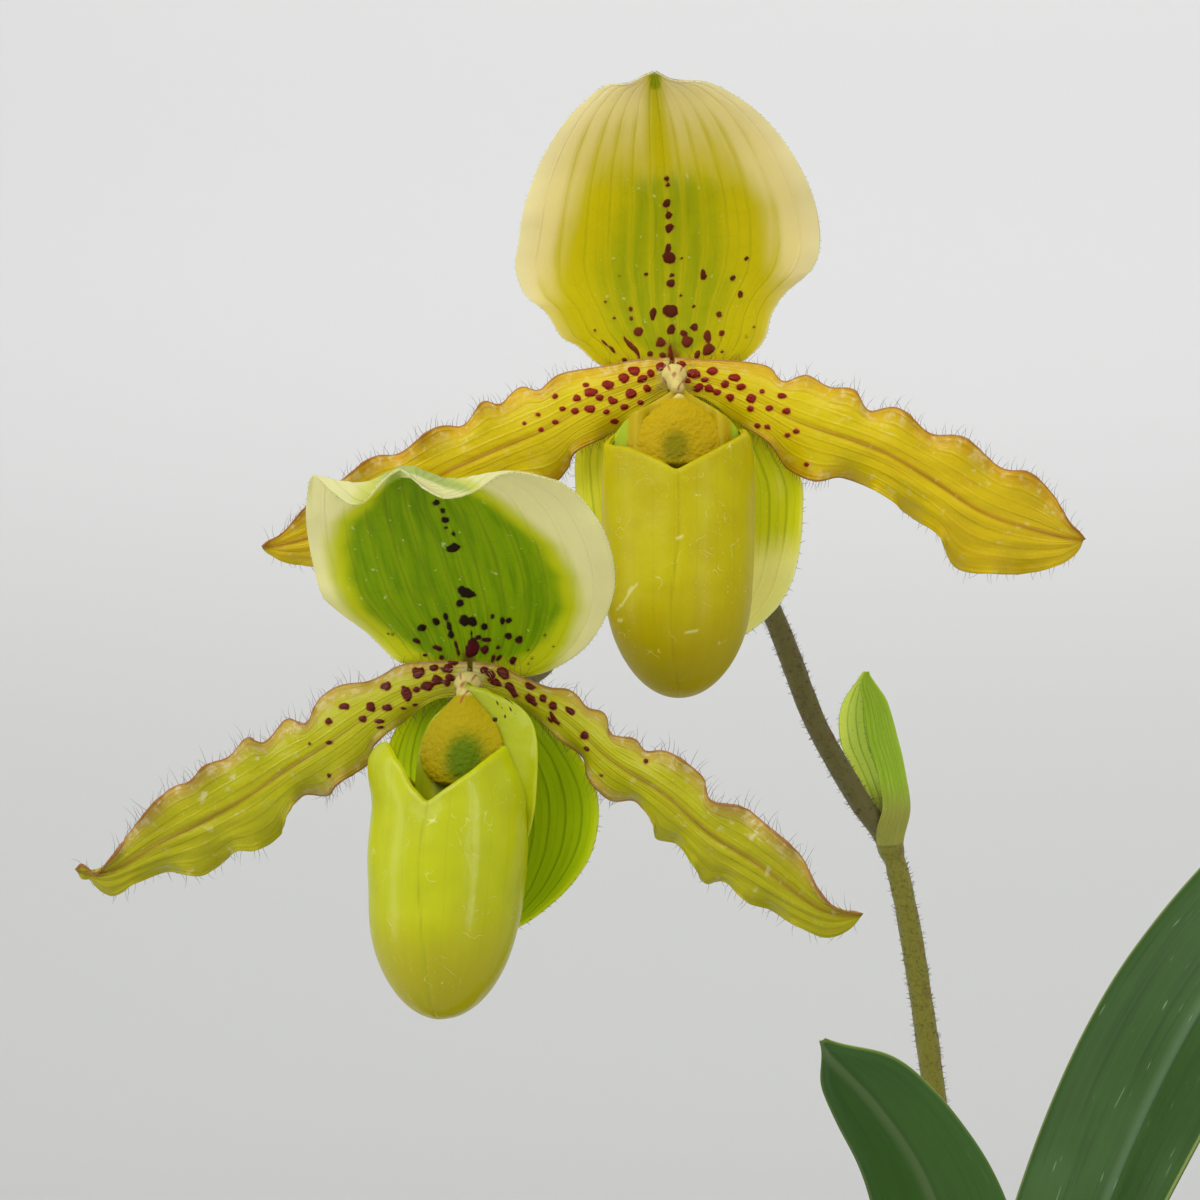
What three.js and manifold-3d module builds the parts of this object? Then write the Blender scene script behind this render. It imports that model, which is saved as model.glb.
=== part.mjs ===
// A potted slipper orchid (Paphiopedilum): two blooms on one scape above a fan of strap leaves.
// Millimetres, +Z up, origin at the centre of the pot's base, -Y is the side that the blooms face.
import * as THREE from "three";
import { mergeVertices } from "three/addons/utils/BufferGeometryUtils.js";
import Module from "manifold-3d";

const wasm = await Module();
wasm.setup();

// ---- driving dimensions ----
const POT_HEIGHT = 96;
const POT_BASE_R = 35;
const POT_RIM_R = 52;
const POT_WALL = 5;
const RIM_BAND = 17;
const DRAIN_R = 4;
const DRAIN_RING_R = 19;
const BARK_TOP = 86;
const BARK_CHIPS = 36;
const SEAT_GAP = 0.3; // clearance between touching pieces
const CROWN = { long: 9.8, short: 6, bottom: 82, top: 90 };
const FAN_TURN = THREE.MathUtils.degToRad(25); // the leaf fan's plane, turned from the X axis
const FAN_SIDE_TURN = 115; // degrees, square to the fan's plane
const LEAF_THICK = 0.9;
const SEPAL_THICK = 0.7;
const PETAL_THICK = 0.7;
const POUCH_WALL = 0.7;
const UPPER_CENTRE = [-41.6, -25, 262.7];
const FRONT_CENTRE = [-64.1, -55, 227.6];
const UPPER_TURN = 0.07; // each bloom's turn to its left, as the slope of its plane
const FRONT_TURN = 0.287;

// ---- small helpers ----
const { lerp, clamp, degToRad } = THREE.MathUtils;
const vec = (x, y, z) => new THREE.Vector3(x, y, z);

// A value that runs smoothly through evenly spaced stations as t goes from 0 to 1.
function along(stations, t) {
  const last = stations.length - 1;
  const x = clamp(t, 0, 1) * last;
  const i = Math.min(Math.floor(x), last - 1);
  const at = (k) => stations[clamp(k, 0, last)];
  const f = x - i;
  const slopeIn = (at(i + 1) - at(i - 1)) / 2;
  const slopeOut = (at(i + 2) - at(i)) / 2;
  const f2 = f * f;
  const f3 = f2 * f;
  return (
    (2 * f3 - 3 * f2 + 1) * at(i) +
    (f3 - 2 * f2 + f) * slopeIn +
    (3 * f2 - 2 * f3) * at(i + 1) +
    (f3 - f2) * slopeOut
  );
}

// A seeded random number generator, so that every build gives the same part.
function seeded(seed) {
  let s = seed >>> 0;
  return () => {
    s = (s + 0x6d2b79f5) >>> 0;
    let t = Math.imul(s ^ (s >>> 15), 1 | s);
    t = (t + Math.imul(t ^ (t >>> 7), 61 | t)) ^ t;
    return ((t ^ (t >>> 14)) >>> 0) / 4294967296;
  };
}

function geometryOf(points, faces) {
  const g = new THREE.BufferGeometry().setFromPoints(points);
  let volume = 0;
  for (const [a, b, c] of faces) {
    volume += points[a].dot(points[b].clone().cross(points[c]));
  }
  g.setIndex(faces.flatMap(([a, b, c]) => (volume < 0 ? [a, c, b] : [a, b, c])));
  g.computeVertexNormals();
  return g;
}

// A closed sheet of even thickness round a grid of mid-surface points. Both faces are split
// alike. wrap joins the last column to the first, and pole closes the last row in a point.
function sheet(rows, thickness, { wrap = false, pole = null } = {}) {
  const nv = rows.length;
  const nu = rows[0].length;
  const column = (j) => (wrap ? (j + nu) % nu : clamp(j, 0, nu - 1));
  const points = [[], []];
  let poleNormal = vec(0, 0, 0);
  for (let i = 0; i < nv; i++) {
    for (let j = 0; j < nu; j++) {
      const across = rows[i][column(j + 1)].clone().sub(rows[i][column(j - 1)]);
      const up = rows[Math.min(i + 1, nv - 1)][j].clone().sub(rows[Math.max(i - 1, 0)][j]);
      const normal = across.cross(up).normalize();
      if (i === nv - 1) poleNormal.add(normal);
      points[0].push(rows[i][j].clone().addScaledVector(normal, thickness / 2));
      points[1].push(rows[i][j].clone().addScaledVector(normal, -thickness / 2));
    }
  }
  const count = nv * nu;
  const id = (side, i, j) => side * count + i * nu + column(j);
  const faces = [];
  for (let i = 0; i < nv - 1; i++) {
    for (let j = 0; j < (wrap ? nu : nu - 1); j++) {
      const [a, b] = [rows[i][column(j)], rows[i][column(j + 1)]];
      const [d, c] = [rows[i + 1][column(j)], rows[i + 1][column(j + 1)]];
      const direct = a.distanceTo(c) <= b.distanceTo(d);
      for (const side of [0, 1]) {
        const q = [id(side, i, j), id(side, i, j + 1), id(side, i + 1, j + 1), id(side, i + 1, j)];
        const pair = direct
          ? [[q[0], q[1], q[2]], [q[0], q[2], q[3]]]
          : [[q[0], q[1], q[3]], [q[1], q[2], q[3]]];
        for (const [x, y, z] of pair) faces.push(side ? [x, z, y] : [x, y, z]);
      }
    }
  }
  const wall = (i0, j0, i1, j1) => {
    const [a, b, c, d] = [id(0, i0, j0), id(0, i1, j1), id(1, i1, j1), id(1, i0, j0)];
    faces.push([b, a, d], [b, d, c]);
  };
  for (let j = 0; j < (wrap ? nu : nu - 1); j++) wall(0, j, 0, j + 1);
  const all = [...points[0], ...points[1]];
  if (pole) {
    poleNormal.normalize();
    all.push(pole.clone().addScaledVector(poleNormal, thickness / 2));
    all.push(pole.clone().addScaledVector(poleNormal, -thickness / 2));
    for (let j = 0; j < nu; j++) {
      faces.push([id(0, nv - 1, j), id(0, nv - 1, j + 1), 2 * count]);
      faces.push([id(1, nv - 1, j + 1), id(1, nv - 1, j), 2 * count + 1]);
    }
  } else {
    for (let j = 0; j < (wrap ? nu : nu - 1); j++) wall(nv - 1, j + 1, nv - 1, j);
  }
  if (!wrap) {
    for (let i = 0; i < nv - 1; i++) {
      wall(i + 1, 0, i, 0);
      wall(i, nu - 1, i + 1, nu - 1);
    }
  }
  return geometryOf(all, faces);
}

// A solid stem along a curve, with a radius that follows stations and, if ribs is set, ridges.
function stem(path, radii, { sides = 10, steps = 16, ribs = 0 } = {}) {
  const curve = new THREE.CatmullRomCurve3(path.map((p) => vec(...p)));
  const frames = curve.computeFrenetFrames(steps);
  const points = [];
  const faces = [];
  for (let i = 0; i <= steps; i++) {
    const t = i / steps;
    const centre = curve.getPointAt(t);
    for (let j = 0; j < sides; j++) {
      const a = (2 * Math.PI * j) / sides;
      const r = along(radii, t) * (1 + (ribs ? 0.07 * Math.cos(ribs * a) : 0));
      points.push(
        centre
          .clone()
          .addScaledVector(frames.normals[i], r * Math.cos(a))
          .addScaledVector(frames.binormals[i], r * Math.sin(a)),
      );
    }
  }
  for (let i = 0; i < steps; i++) {
    for (let j = 0; j < sides; j++) {
      const k = (j + 1) % sides;
      const [a, b, c, d] = [i * sides + j, i * sides + k, (i + 1) * sides + k, (i + 1) * sides + j];
      faces.push([a, b, c], [a, c, d]);
    }
  }
  const top = steps * sides;
  const [start, end] = [points.length, points.length + 1];
  points.push(curve.getPointAt(0), curve.getPointAt(1));
  for (let j = 0; j < sides; j++) {
    const k = (j + 1) % sides;
    faces.push([start, k, j], [end, top + j, top + k]);
  }
  return geometryOf(points, faces);
}

function solidOf(geometry) {
  const bare = geometry.clone();
  bare.deleteAttribute("normal");
  bare.deleteAttribute("uv");
  const merged = mergeVertices(bare, 1e-4);
  return new wasm.Manifold(
    new wasm.Mesh({
      numProp: 3,
      vertProperties: merged.attributes.position.array,
      triVerts: new Uint32Array(merged.index.array),
    }),
  );
}

function geometryFrom(solid) {
  const m = solid.getMesh();
  const g = new THREE.BufferGeometry();
  g.setAttribute("position", new THREE.BufferAttribute(new Float32Array(m.vertProperties), 3));
  g.setIndex(new THREE.BufferAttribute(new Uint32Array(m.triVerts), 1));
  g.computeVertexNormals();
  return g;
}

const fused = (geometries) => geometries.map(solidOf).reduce((a, b) => a.add(b));

// A sphere stretched to three half-axes and moved to a place.
function lobe(halves, at, tilt = 0) {
  return new THREE.SphereGeometry(1, 9, 6)
    .scale(...halves)
    .rotateX(tilt)
    .translate(...at);
}

const piece = (name, geometry, colour, roughness) => {
  const mesh = new THREE.Mesh(
    geometry,
    new THREE.MeshStandardMaterial({ color: colour, roughness, metalness: 0 }),
  );
  mesh.name = name;
  return mesh;
};

// ---- sepals and petals ----
// Each one is drawn by its two margins, from base to tip, as seen from in front: [x, z] in
// millimetres from the bloom's centre. mid is the depth of the midrib from base to tip, margin
// is the depth of the two margins, and a wave runs along each margin. lift raises the middle
// above the margins, for a hooded tip.
const UPPER_DORSAL = {
  left: [
    [-1.4, -1.3], [-5.1, -0.9], [-8.6, -0.1], [-11.1, 2.1], [-12.8, 3.0], [-14.8, 6.1], [-17.2, 8.2],
    [-18.4, 11.6], [-18.0, 14.3], [-17.3, 18.5], [-15.1, 24.2], [-11.6, 29.2], [-7.5, 31.7],
    [-4.1, 32.5], [-2.8, 33.0],
  ],
  right: [
    [1.4, -1.3], [5.2, -1.0], [8.5, 0.3], [10.8, 2.7], [11.7, 5.7], [13.1, 8.0], [16.6, 11.3],
    [17.4, 14.4], [16.4, 19.9], [13.0, 25.9], [10.1, 29.0], [7.3, 30.9], [4.4, 32.2], [-0.2, 32.3],
    [-1.6, 33.0],
  ],
  mid: [1.25, 1.3, 2.0, 1.0, -1.2, -3.2],
  marginLeft: [1.25, 2.2, 4.2, 3.0, 0, -3.4],
  marginRight: [1.25, 2.2, 4.2, 3.0, 0, -3.4],
  wave: { count: 4.5, size: [0, 0.5, 1.0, 0.8, 0.4, 0] },
  grid: [8, 18],
};
const UPPER_SYNSEPAL = {
  left: [
    [-1.1, -2.1], [-3.7, -2.9], [-8.4, -5.5], [-11.1, -10.1], [-11.3, -14.5], [-10.7, -19.5],
    [-9.5, -24.2], [-7.6, -28.3], [-4.3, -31.6], [0.2, -33.4],
  ],
  right: [
    [1.2, -2.1], [4.7, -2.8], [9.7, -5.7], [13.5, -10.8], [15.1, -14.0], [15.2, -17.8],
    [14.5, -23.3], [13.1, -27.1], [10.7, -30.0], [7.2, -32.3], [2.0, -33.5],
  ],
  mid: [1.25, 1.4, 2.8, 3.2, 2.6, 1.2],
  marginLeft: [1.25, 2.2, 1.6, 1.0, 0.6, 0.4],
  marginRight: [1.25, 2.2, 1.4, 0.4, 0.2, 0.4],
  wave: { count: 2.5, size: [0, 0.2, 0.5, 0.5, 0.3, 0] },
  grid: [8, 14],
};
const UPPER_PETAL_LEFT = {
  left: [
    [-0.5, -3.7], [-3.3, -5.5], [-7.8, -8.7], [-11.5, -10.8], [-12.1, -12.3], [-13.8, -14.0],
    [-18.3, -14.4], [-20.6, -16.1], [-25.3, -17.2], [-28.2, -19.6], [-33.4, -21.6], [-38.1, -23.7],
    [-42.4, -23.7], [-45.1, -23.3], [-47.4, -22.0],
  ],
  right: [
    [-0.3, 0.5], [-3.7, 0.3], [-7.8, -0.4], [-13.4, -1.5], [-15.5, -3.2], [-17.6, -2.9],
    [-20.2, -4.9], [-21.9, -4.6], [-24.2, -7.3], [-27.3, -7.6], [-31.8, -10.7], [-34.4, -11.0],
    [-37.7, -13.3], [-42.3, -16.7], [-45.5, -20.0], [-47.2, -21.0],
  ],
  mid: [0.05, -1.2, -2.6, -3.8, -4.2, -3.2],
  marginLeft: [0.05, -0.5, -1, -2, -2.5, -2.6],
  marginRight: [0.05, 0.5, -1.5, -4, -5, -3.6],
  wave: { count: 6.5, size: [0, 0.7, 1.2, 1.2, 0.9, 0.1] },
  grid: [5, 28],
};
const UPPER_PETAL_RIGHT = {
  left: [
    [0.5, -3.7], [3.5, -4.2], [7.4, -6.9], [11.2, -9.6], [13.5, -12.5], [16.4, -14.0],
    [19.6, -13.5], [24.5, -15.8], [28.3, -18.6], [30.6, -20.4], [32.7, -24.0], [37.6, -24.7],
    [43.1, -24.1], [45.9, -22.6], [46.9, -21.3],
  ],
  right: [
    [0.3, 0.5], [3.8, 0.3], [7.3, 0.1], [11.2, -0.6], [12.9, -2.3], [15.5, -1.6], [18.3, -3.0],
    [20.9, -3.4], [22.6, -5.8], [25.7, -5.5], [29.7, -8.6], [32.9, -8.9], [37.8, -12.6],
    [40.6, -13.1], [43.5, -15.6], [45.4, -18.8], [46.8, -20.1],
  ],
  mid: [0.05, -1.2, -2.6, -3.8, -4.2, -3.2],
  marginLeft: [0.05, -0.5, -1, -2, -2.5, -2.6],
  marginRight: [0.05, 0.5, -1.5, -4, -5, -3.6],
  wave: { count: 7, size: [0, 0.7, 1.2, 1.2, 0.9, 0.1] },
  grid: [5, 28],
};
const FRONT_DORSAL = {
  left: [
    [-1.2, -0.9], [-3.4, -0.5], [-5.8, 0.3], [-8.1, 0.7], [-11.3, 3.7], [-14.4, 6.1], [-16.1, 7.8],
    [-17.0, 11.1], [-17.5, 15.0], [-17.3, 17.8], [-16.5, 19.5], [-14.5, 18.6], [-11.5, 17.3],
    [-9.0, 18.7], [-7.0, 19.3], [-5.6, 18.7],
  ],
  right: [
    [1.2, -0.9], [4.6, -1.0], [8.0, -0.5], [12.0, 1.8], [14.1, 4.4], [15.5, 7.9], [15.6, 10.7],
    [14.4, 14.8], [11.6, 18.5], [8.9, 20.1], [6.2, 20.7], [3.8, 20.4], [1.2, 18.8], [-1.4, 18.0],
    [-4.3, 18.3],
  ],
  mid: [1.25, 1.0, -3.6, -10, -17.0, -20.2],
  marginLeft: [1.25, 1.5, -2, -8, -15.5, -20.5],
  marginRight: [1.25, 1.5, -4, -11, -18, -20.5],
  lift: [0, 0, 0, 0, 0.5, 0],
  wave: { count: 3.5, size: [0, 0.3, 0.6, 0.6, 0.3, 0] },
  grid: [8, 20],
};
const FRONT_SYNSEPAL = {
  left: [
    [-1.1, -2.2], [-3.4, -2.9], [-7.3, -5.3], [-9.6, -10.2], [-9.7, -15.6], [-8.6, -21.0],
    [-6.0, -25.2], [-2.1, -27.8], [0.6, -28.4],
  ],
  right: [
    [1.1, -2.2], [4.6, -2.9], [8.9, -6.1], [12.8, -11.0], [13.9, -14.7], [13.3, -19.3],
    [11.4, -22.7], [8.5, -25.7], [5.3, -27.9], [2.8, -28.5],
  ],
  mid: [1.25, 1.4, 2.8, 3.2, 2.6, 1.2],
  marginLeft: [1.25, 2.2, 1.6, 1.0, 0.6, 0.4],
  marginRight: [1.25, 2.2, 1.4, 0.4, 0.2, 0.4],
  wave: { count: 2.5, size: [0, 0.2, 0.5, 0.5, 0.3, 0] },
  grid: [8, 14],
};
const FRONT_PETAL_LEFT = {
  left: [
    [-0.4, -3.0], [-3.8, -3.5], [-7.5, -6.0], [-10.6, -8.6], [-11.1, -10.3], [-14.7, -12.9],
    [-15.6, -14.0], [-18.5, -14.1], [-20.0, -15.9], [-21.2, -18.5], [-23.7, -20.1], [-25.7, -20.2],
    [-29.6, -22.9], [-33.7, -22.6], [-37.0, -23.8], [-40.1, -25.4], [-42.4, -24.4], [-43.8, -23.8],
  ],
  right: [
    [-0.3, 0.7], [-4.4, 0.7], [-7.5, 0.3], [-10.9, -1.4], [-14.4, -2.0], [-16.9, -3.7],
    [-18.1, -6.0], [-20.2, -5.7], [-22.9, -8.2], [-24.4, -7.6], [-26.7, -9.8], [-29.2, -10.7],
    [-30.9, -12.4], [-33.4, -13.5], [-37.2, -17.5], [-40.2, -21.4], [-42.3, -23.0], [-43.6, -22.6],
  ],
  mid: [0.05, -1.2, -2.6, -3.8, -4.2, -3.2],
  marginLeft: [0.05, -0.5, -1, -2, -2.5, -2.6],
  marginRight: [0.05, 0.5, -1.5, -4, -5, -3.6],
  wave: { count: 7.5, size: [0, 0.7, 1.2, 1.2, 0.9, 0.1] },
  grid: [5, 28],
};
const FRONT_PETAL_RIGHT = {
  left: [
    [0.4, -3.0], [3.3, -3.0], [6.0, -4.3], [9.8, -7.7], [12.3, -9.6], [13.0, -12.0], [15.4, -14.2],
    [17.8, -14.2], [19.7, -16.4], [20.1, -18.0], [22.4, -18.6], [24.2, -21.1], [25.3, -22.7],
    [27.3, -22.5], [29.5, -24.4], [32.3, -25.4], [35.0, -27.0], [38.1, -28.0], [40.8, -26.6],
  ],
  right: [
    [0.3, 0.7], [2.7, 0.4], [6.5, -1.3], [8.6, -2.1], [11.1, -2.4], [12.8, -4.2], [14.5, -4.8],
    [15.3, -6.9], [17.8, -7.4], [19.1, -8.8], [21.3, -8.7], [25.0, -11.4], [25.7, -13.6],
    [29.2, -14.4], [32.2, -16.7], [35.2, -19.4], [36.9, -22.8], [39.0, -25.2], [40.9, -25.4],
  ],
  mid: [0.05, -1.2, -2.6, -3.8, -4.2, -3.2],
  marginLeft: [0.05, -0.5, -1, -2, -2.5, -2.6],
  marginRight: [0.05, 0.5, -1.5, -4, -5, -3.6],
  wave: { count: 7.5, size: [0, 0.7, 1.2, 1.2, 0.9, 0.1] },
  grid: [5, 28],
};

// The closed solid of a sepal or petal, in the bloom's own millimetres.
function floralBlade(shape, thickness, turn) {
  const [nu, nv] = shape.grid;
  const flat = (outline) =>
    new THREE.CatmullRomCurve3(outline.map(([x, z]) => vec(x, 0, z))).getSpacedPoints(nv);
  const left = flat(shape.left);
  const right = flat(shape.right);
  const rows = left.map((start, i) => {
    const v = i / nv;
    const row = [];
    for (let j = 0; j <= nu; j++) {
      const u = (2 * j) / nu - 1;
      const point = start.clone().lerp(right[i], j / nu);
      const mid = along(shape.mid, v);
      const margin = along(u < 0 ? shape.marginLeft : shape.marginRight, v);
      const phase = 2 * Math.PI * shape.wave.count * v + (u < 0 ? 1.9 : 0);
      const wave = along(shape.wave.size, v) * Math.sin(phase) * Math.abs(u) ** 3;
      point.y = mid + (margin - mid) * u * u + wave - turn * point.x;
      point.z += along(shape.lift ?? [0, 0], v) * (1 - u * u);
      row.push(point);
    }
    return row;
  });
  return sheet(rows, thickness);
}

// ---- pouches ----
// A pouch is lofted from level sections: half-width, centre depth and half-depth at heights z,
// closed below waist in a blunt end. rim gives the height of the mouth's edge against the angle
// from the front, in degrees to the bloom's right.
const UPPER_POUCH = {
  centreX: 0.7,
  turn: UPPER_TURN,
  heights: [-5, -8, -13, -20, -27],
  halfWidth: [3.4, 8.0, 8.3, 8.2, 7.9],
  centreY: [-3.0, -6.6, -7.2, -8.4, -9.8],
  halfDepth: [3.1, 6.9, 7.3, 7.8, 7.9],
  waist: -27,
  bottom: -38.5,
  drift: -1.8,
  rim: [
    [-180, -5.3], [-150, -6.6], [-135, -9.3], [-120, -9.8], [-102, -8.2], [-85, -9.4], [-60, -10.4],
    [-25, -11.2], [0, -12.9], [25, -10.9], [60, -9.9], [85, -8.6], [102, -7.6], [120, -9.6],
    [135, -9.2], [150, -6.6], [180, -5.3],
  ],
};
const FRONT_POUCH = {
  centreX: 0.2,
  turn: FRONT_TURN,
  heights: [-5, -8, -13, -20, -27],
  halfWidth: [3.4, 7.4, 7.9, 8.3, 7.8],
  centreY: [-3.0, -6.6, -7.2, -8.4, -9.4],
  halfDepth: [3.1, 6.9, 7.4, 8.0, 7.8],
  waist: -25,
  bottom: -36.7,
  drift: -1.2,
  rim: [
    [-180, -5.3], [-150, -6.6], [-135, -9.3], [-120, -9.4], [-102, -8.3], [-85, -9.6],
    [-60, -10.6], [-25, -11.9], [0, -13.9], [25, -12.1], [60, -10.6], [85, -9.2], [102, -8.0],
    [120, -9.6], [135, -9.2], [150, -6.6], [180, -5.3],
  ],
};

function rimHeight(rim, degrees) {
  const k = Math.max(1, rim.findIndex(([a]) => a >= degrees));
  const [[a0, z0], [a1, z1]] = [rim[k - 1], rim[k]];
  return lerp(z0, z1, (degrees - a0) / (a1 - a0));
}

// The half-width, centre and half-depth of a pouch at one height.
function pouchSection(p, z) {
  const k = clamp(p.heights.findIndex((h) => h <= z), 1, p.heights.length - 1);
  const at = z <= p.heights.at(-1) ? p.heights.length - 1 : k;
  const f = clamp((z - p.heights[at - 1]) / (p.heights[at] - p.heights[at - 1]), 0, 1);
  const mix = (list) => lerp(list[at - 1], list[at], f);
  const drop = clamp((p.waist - z) / (p.waist - p.bottom), 0, 1);
  const close = Math.sqrt(1 - drop ** 1.8);
  return {
    w: mix(p.halfWidth) * close,
    y: mix(p.centreY) + p.drift * drop,
    d: mix(p.halfDepth) * close,
  };
}

function pouch(p) {
  const [around, down] = [24, 10];
  const turn = Math.atan(p.turn);
  const rows = [];
  for (let i = 0; i < down; i++) {
    const s = i / down;
    const row = [];
    for (let j = 0; j < around; j++) {
      const degrees = (360 * j) / around - 180;
      const a = degToRad(degrees);
      const top = rimHeight(p.rim, degrees);
      const z = top + (p.bottom - top) * Math.sin((s * Math.PI) / 2);
      const { w, y, d } = pouchSection(p, z);
      const flare = 1 + 0.05 * (1 - s) ** 6 * (Math.abs(degrees) < 100 ? 1 : 0);
      const point = vec(p.centreX + w * flare * Math.sin(a), y - d * flare * Math.cos(a), z);
      row.push(point.applyAxisAngle(vec(0, 0, 1), -turn));
    }
    rows.push(row);
  }
  const end = pouchSection(p, p.bottom);
  const pole = vec(p.centreX, end.y, p.bottom).applyAxisAngle(vec(0, 0, 1), -turn);
  return sheet(rows, POUCH_WALL, { wrap: true, pole });
}

// The column with its shield-shaped staminode, two anthers and the stigma below, one body.
function column(turn) {
  const shield = new THREE.SphereGeometry(1, 14, 8).scale(5.0, 0.9, 4.1);
  const p = shield.attributes.position;
  for (let i = 0; i < p.count; i++) {
    const z = p.getZ(i);
    p.setX(i, p.getX(i) * (1 - 0.045 * Math.max(0, z)));
    p.setY(i, p.getY(i) - 0.03 * p.getX(i) ** 2 + 0.4);
  }
  shield.rotateX(-0.28).translate(0.2, -7.3, -8.6);
  const body = fused([
    lobe([2.1, 3.1, 2.0], [0, -4.0, -3.3]),
    shield,
    lobe([1.1, 1.0, 1.7], [0.2, -8.4, -9.6], -0.28),
    lobe([0.95, 1.1, 1.1], [2.2, -4.4, -4.4]),
    lobe([0.95, 1.1, 1.1], [-2.2, -4.4, -4.4]),
    lobe([2.0, 1.7, 1.2], [0, -4.2, -5.6]),
  ]);
  return geometryFrom(body).rotateZ(-Math.atan(turn));
}

const BLOOMS = [
  {
    name: "upper",
    centre: UPPER_CENTRE,
    turn: UPPER_TURN,
    dorsal: UPPER_DORSAL,
    synsepal: UPPER_SYNSEPAL,
    petalLeft: UPPER_PETAL_LEFT,
    petalRight: UPPER_PETAL_RIGHT,
    pouch: UPPER_POUCH,
    ovary: [
      [-34.65, -5.45, 244.2], [-36.6, -6.0, 250], [-39.6, -8.4, 256.6], [-41.3, -14, 260.6],
      [-41.5, -22.7, 261.2],
    ],
    colours: { dorsal: "#b9bd5e", green: "#8ba13e", petal: "#c79c1e", pouch: "#b5a336", heart: "#c9a12c" },
  },
  {
    name: "front",
    centre: FRONT_CENTRE,
    turn: FRONT_TURN,
    dorsal: FRONT_DORSAL,
    synsepal: FRONT_SYNSEPAL,
    petalLeft: FRONT_PETAL_LEFT,
    petalRight: FRONT_PETAL_RIGHT,
    pouch: FRONT_POUCH,
    ovary: [
      [-35.4, -5.6, 241.5], [-38.2, -6.3, 241.3], [-43, -8.6, 242.2], [-49.5, -14, 241.5],
      [-53.6, -24, 237], [-55.5, -34, 231.5], [-58, -43, 227.4], [-63.5, -52.5, 226.1],
    ],
    colours: { dorsal: "#8fa655", green: "#6f9434", petal: "#a59a3d", pouch: "#a9b43a", heart: "#a8ad45" },
  },
];

function bloom(spec) {
  const group = new THREE.Group();
  group.position.set(...spec.centre);
  const c = spec.colours;
  const named = (part) => spec.name + "_" + part;
  group.add(
    piece(named("dorsal_sepal"), floralBlade(spec.dorsal, SEPAL_THICK, spec.turn), c.dorsal, 0.5),
    piece(named("synsepal"), floralBlade(spec.synsepal, SEPAL_THICK, spec.turn), c.green, 0.5),
    piece(named("petal_left"), floralBlade(spec.petalLeft, PETAL_THICK, spec.turn), c.petal, 0.35),
    piece(named("petal_right"), floralBlade(spec.petalRight, PETAL_THICK, spec.turn), c.petal, 0.35),
    piece(named("pouch"), pouch(spec.pouch), c.pouch, 0.3),
    piece(named("column"), column(spec.turn), c.heart, 0.5),
  );
  return group;
}

// ---- stems and bracts ----
const SCAPE = [
  [0, 0, CROWN.top + SEAT_GAP], [-1.4, 0, 112], [-4.2, 0, 138], [-7.4, 0, 162], [-10.5, 0, 185.7],
  [-13.0, -0.2, 199.8], [-14.7, -0.4, 205.4], [-17.8, -0.8, 209.8], [-20.9, -1.5, 214.9],
  [-23.9, -2.6, 220.5], [-28.8, -4.6, 232.9], [-34.3, -5.4, 243.5],
];

// A folded sheath that clasps a stem: part rings round a path, with half-widths across and deep.
// front and back are the angles in degrees that its two lobes reach round from the keel.
function sheath({ path, across, deep, front, back, keel }) {
  const [nu, nv] = [8, 9];
  const curve = new THREE.CatmullRomCurve3(path.map((p) => vec(...p)));
  const side = vec(Math.cos(keel), Math.sin(keel), 0);
  const depth = vec(-Math.sin(keel), Math.cos(keel), 0);
  const rows = [];
  for (let i = 0; i <= nv; i++) {
    const v = i / nv;
    const centre = curve.getPointAt(v);
    const row = [];
    for (let j = 0; j <= nu; j++) {
      const u = (2 * j) / nu - 1;
      const a = u * degToRad(along(u < 0 ? front : back, v));
      const fold = 1 + 0.12 * (1 - Math.abs(u)) ** 3;
      row.push(
        centre
          .clone()
          .addScaledVector(side, along(across, v) * fold * Math.cos(a))
          .addScaledVector(depth, along(deep, v) * Math.sin(a)),
      );
    }
    rows.push(row);
  }
  return sheet(rows, 0.65);
}

const SCAPE_BRACT = {
  path: [
    [-14.6, -0.4, 204.9], [-14.7, -0.3, 207.6], [-15.3, 0, 211.9], [-17.1, 0.3, 217.5], [-17.9, 0.5, 223],
    [-17.3, 0.5, 226.2],
  ],
  across: [2.05, 2.15, 2.4, 3.0, 2.1, 0.4],
  deep: [2.1, 2.5, 2.3, 2.0, 1.3, 0.35],
  front: [140, 98, 92, 90, 90, 90],
  back: [150, 140, 140, 150, 140, 90],
  keel: 0,
};
const RACHIS_BRACT = {
  path: [
    [-33.6, -5.3, 241.6], [-34.2, -5.2, 244.4], [-34.6, -4.8, 248], [-35.2, -4.0, 252], [-36.2, -3.2, 255.5],
  ],
  across: [2.25, 2.6, 2.9, 2.2, 0.5],
  deep: [2.2, 2.4, 2.5, 1.8, 0.35],
  front: [75, 80, 80, 80, 80],
  back: [75, 80, 80, 80, 80],
  keel: degToRad(35),
};

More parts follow.
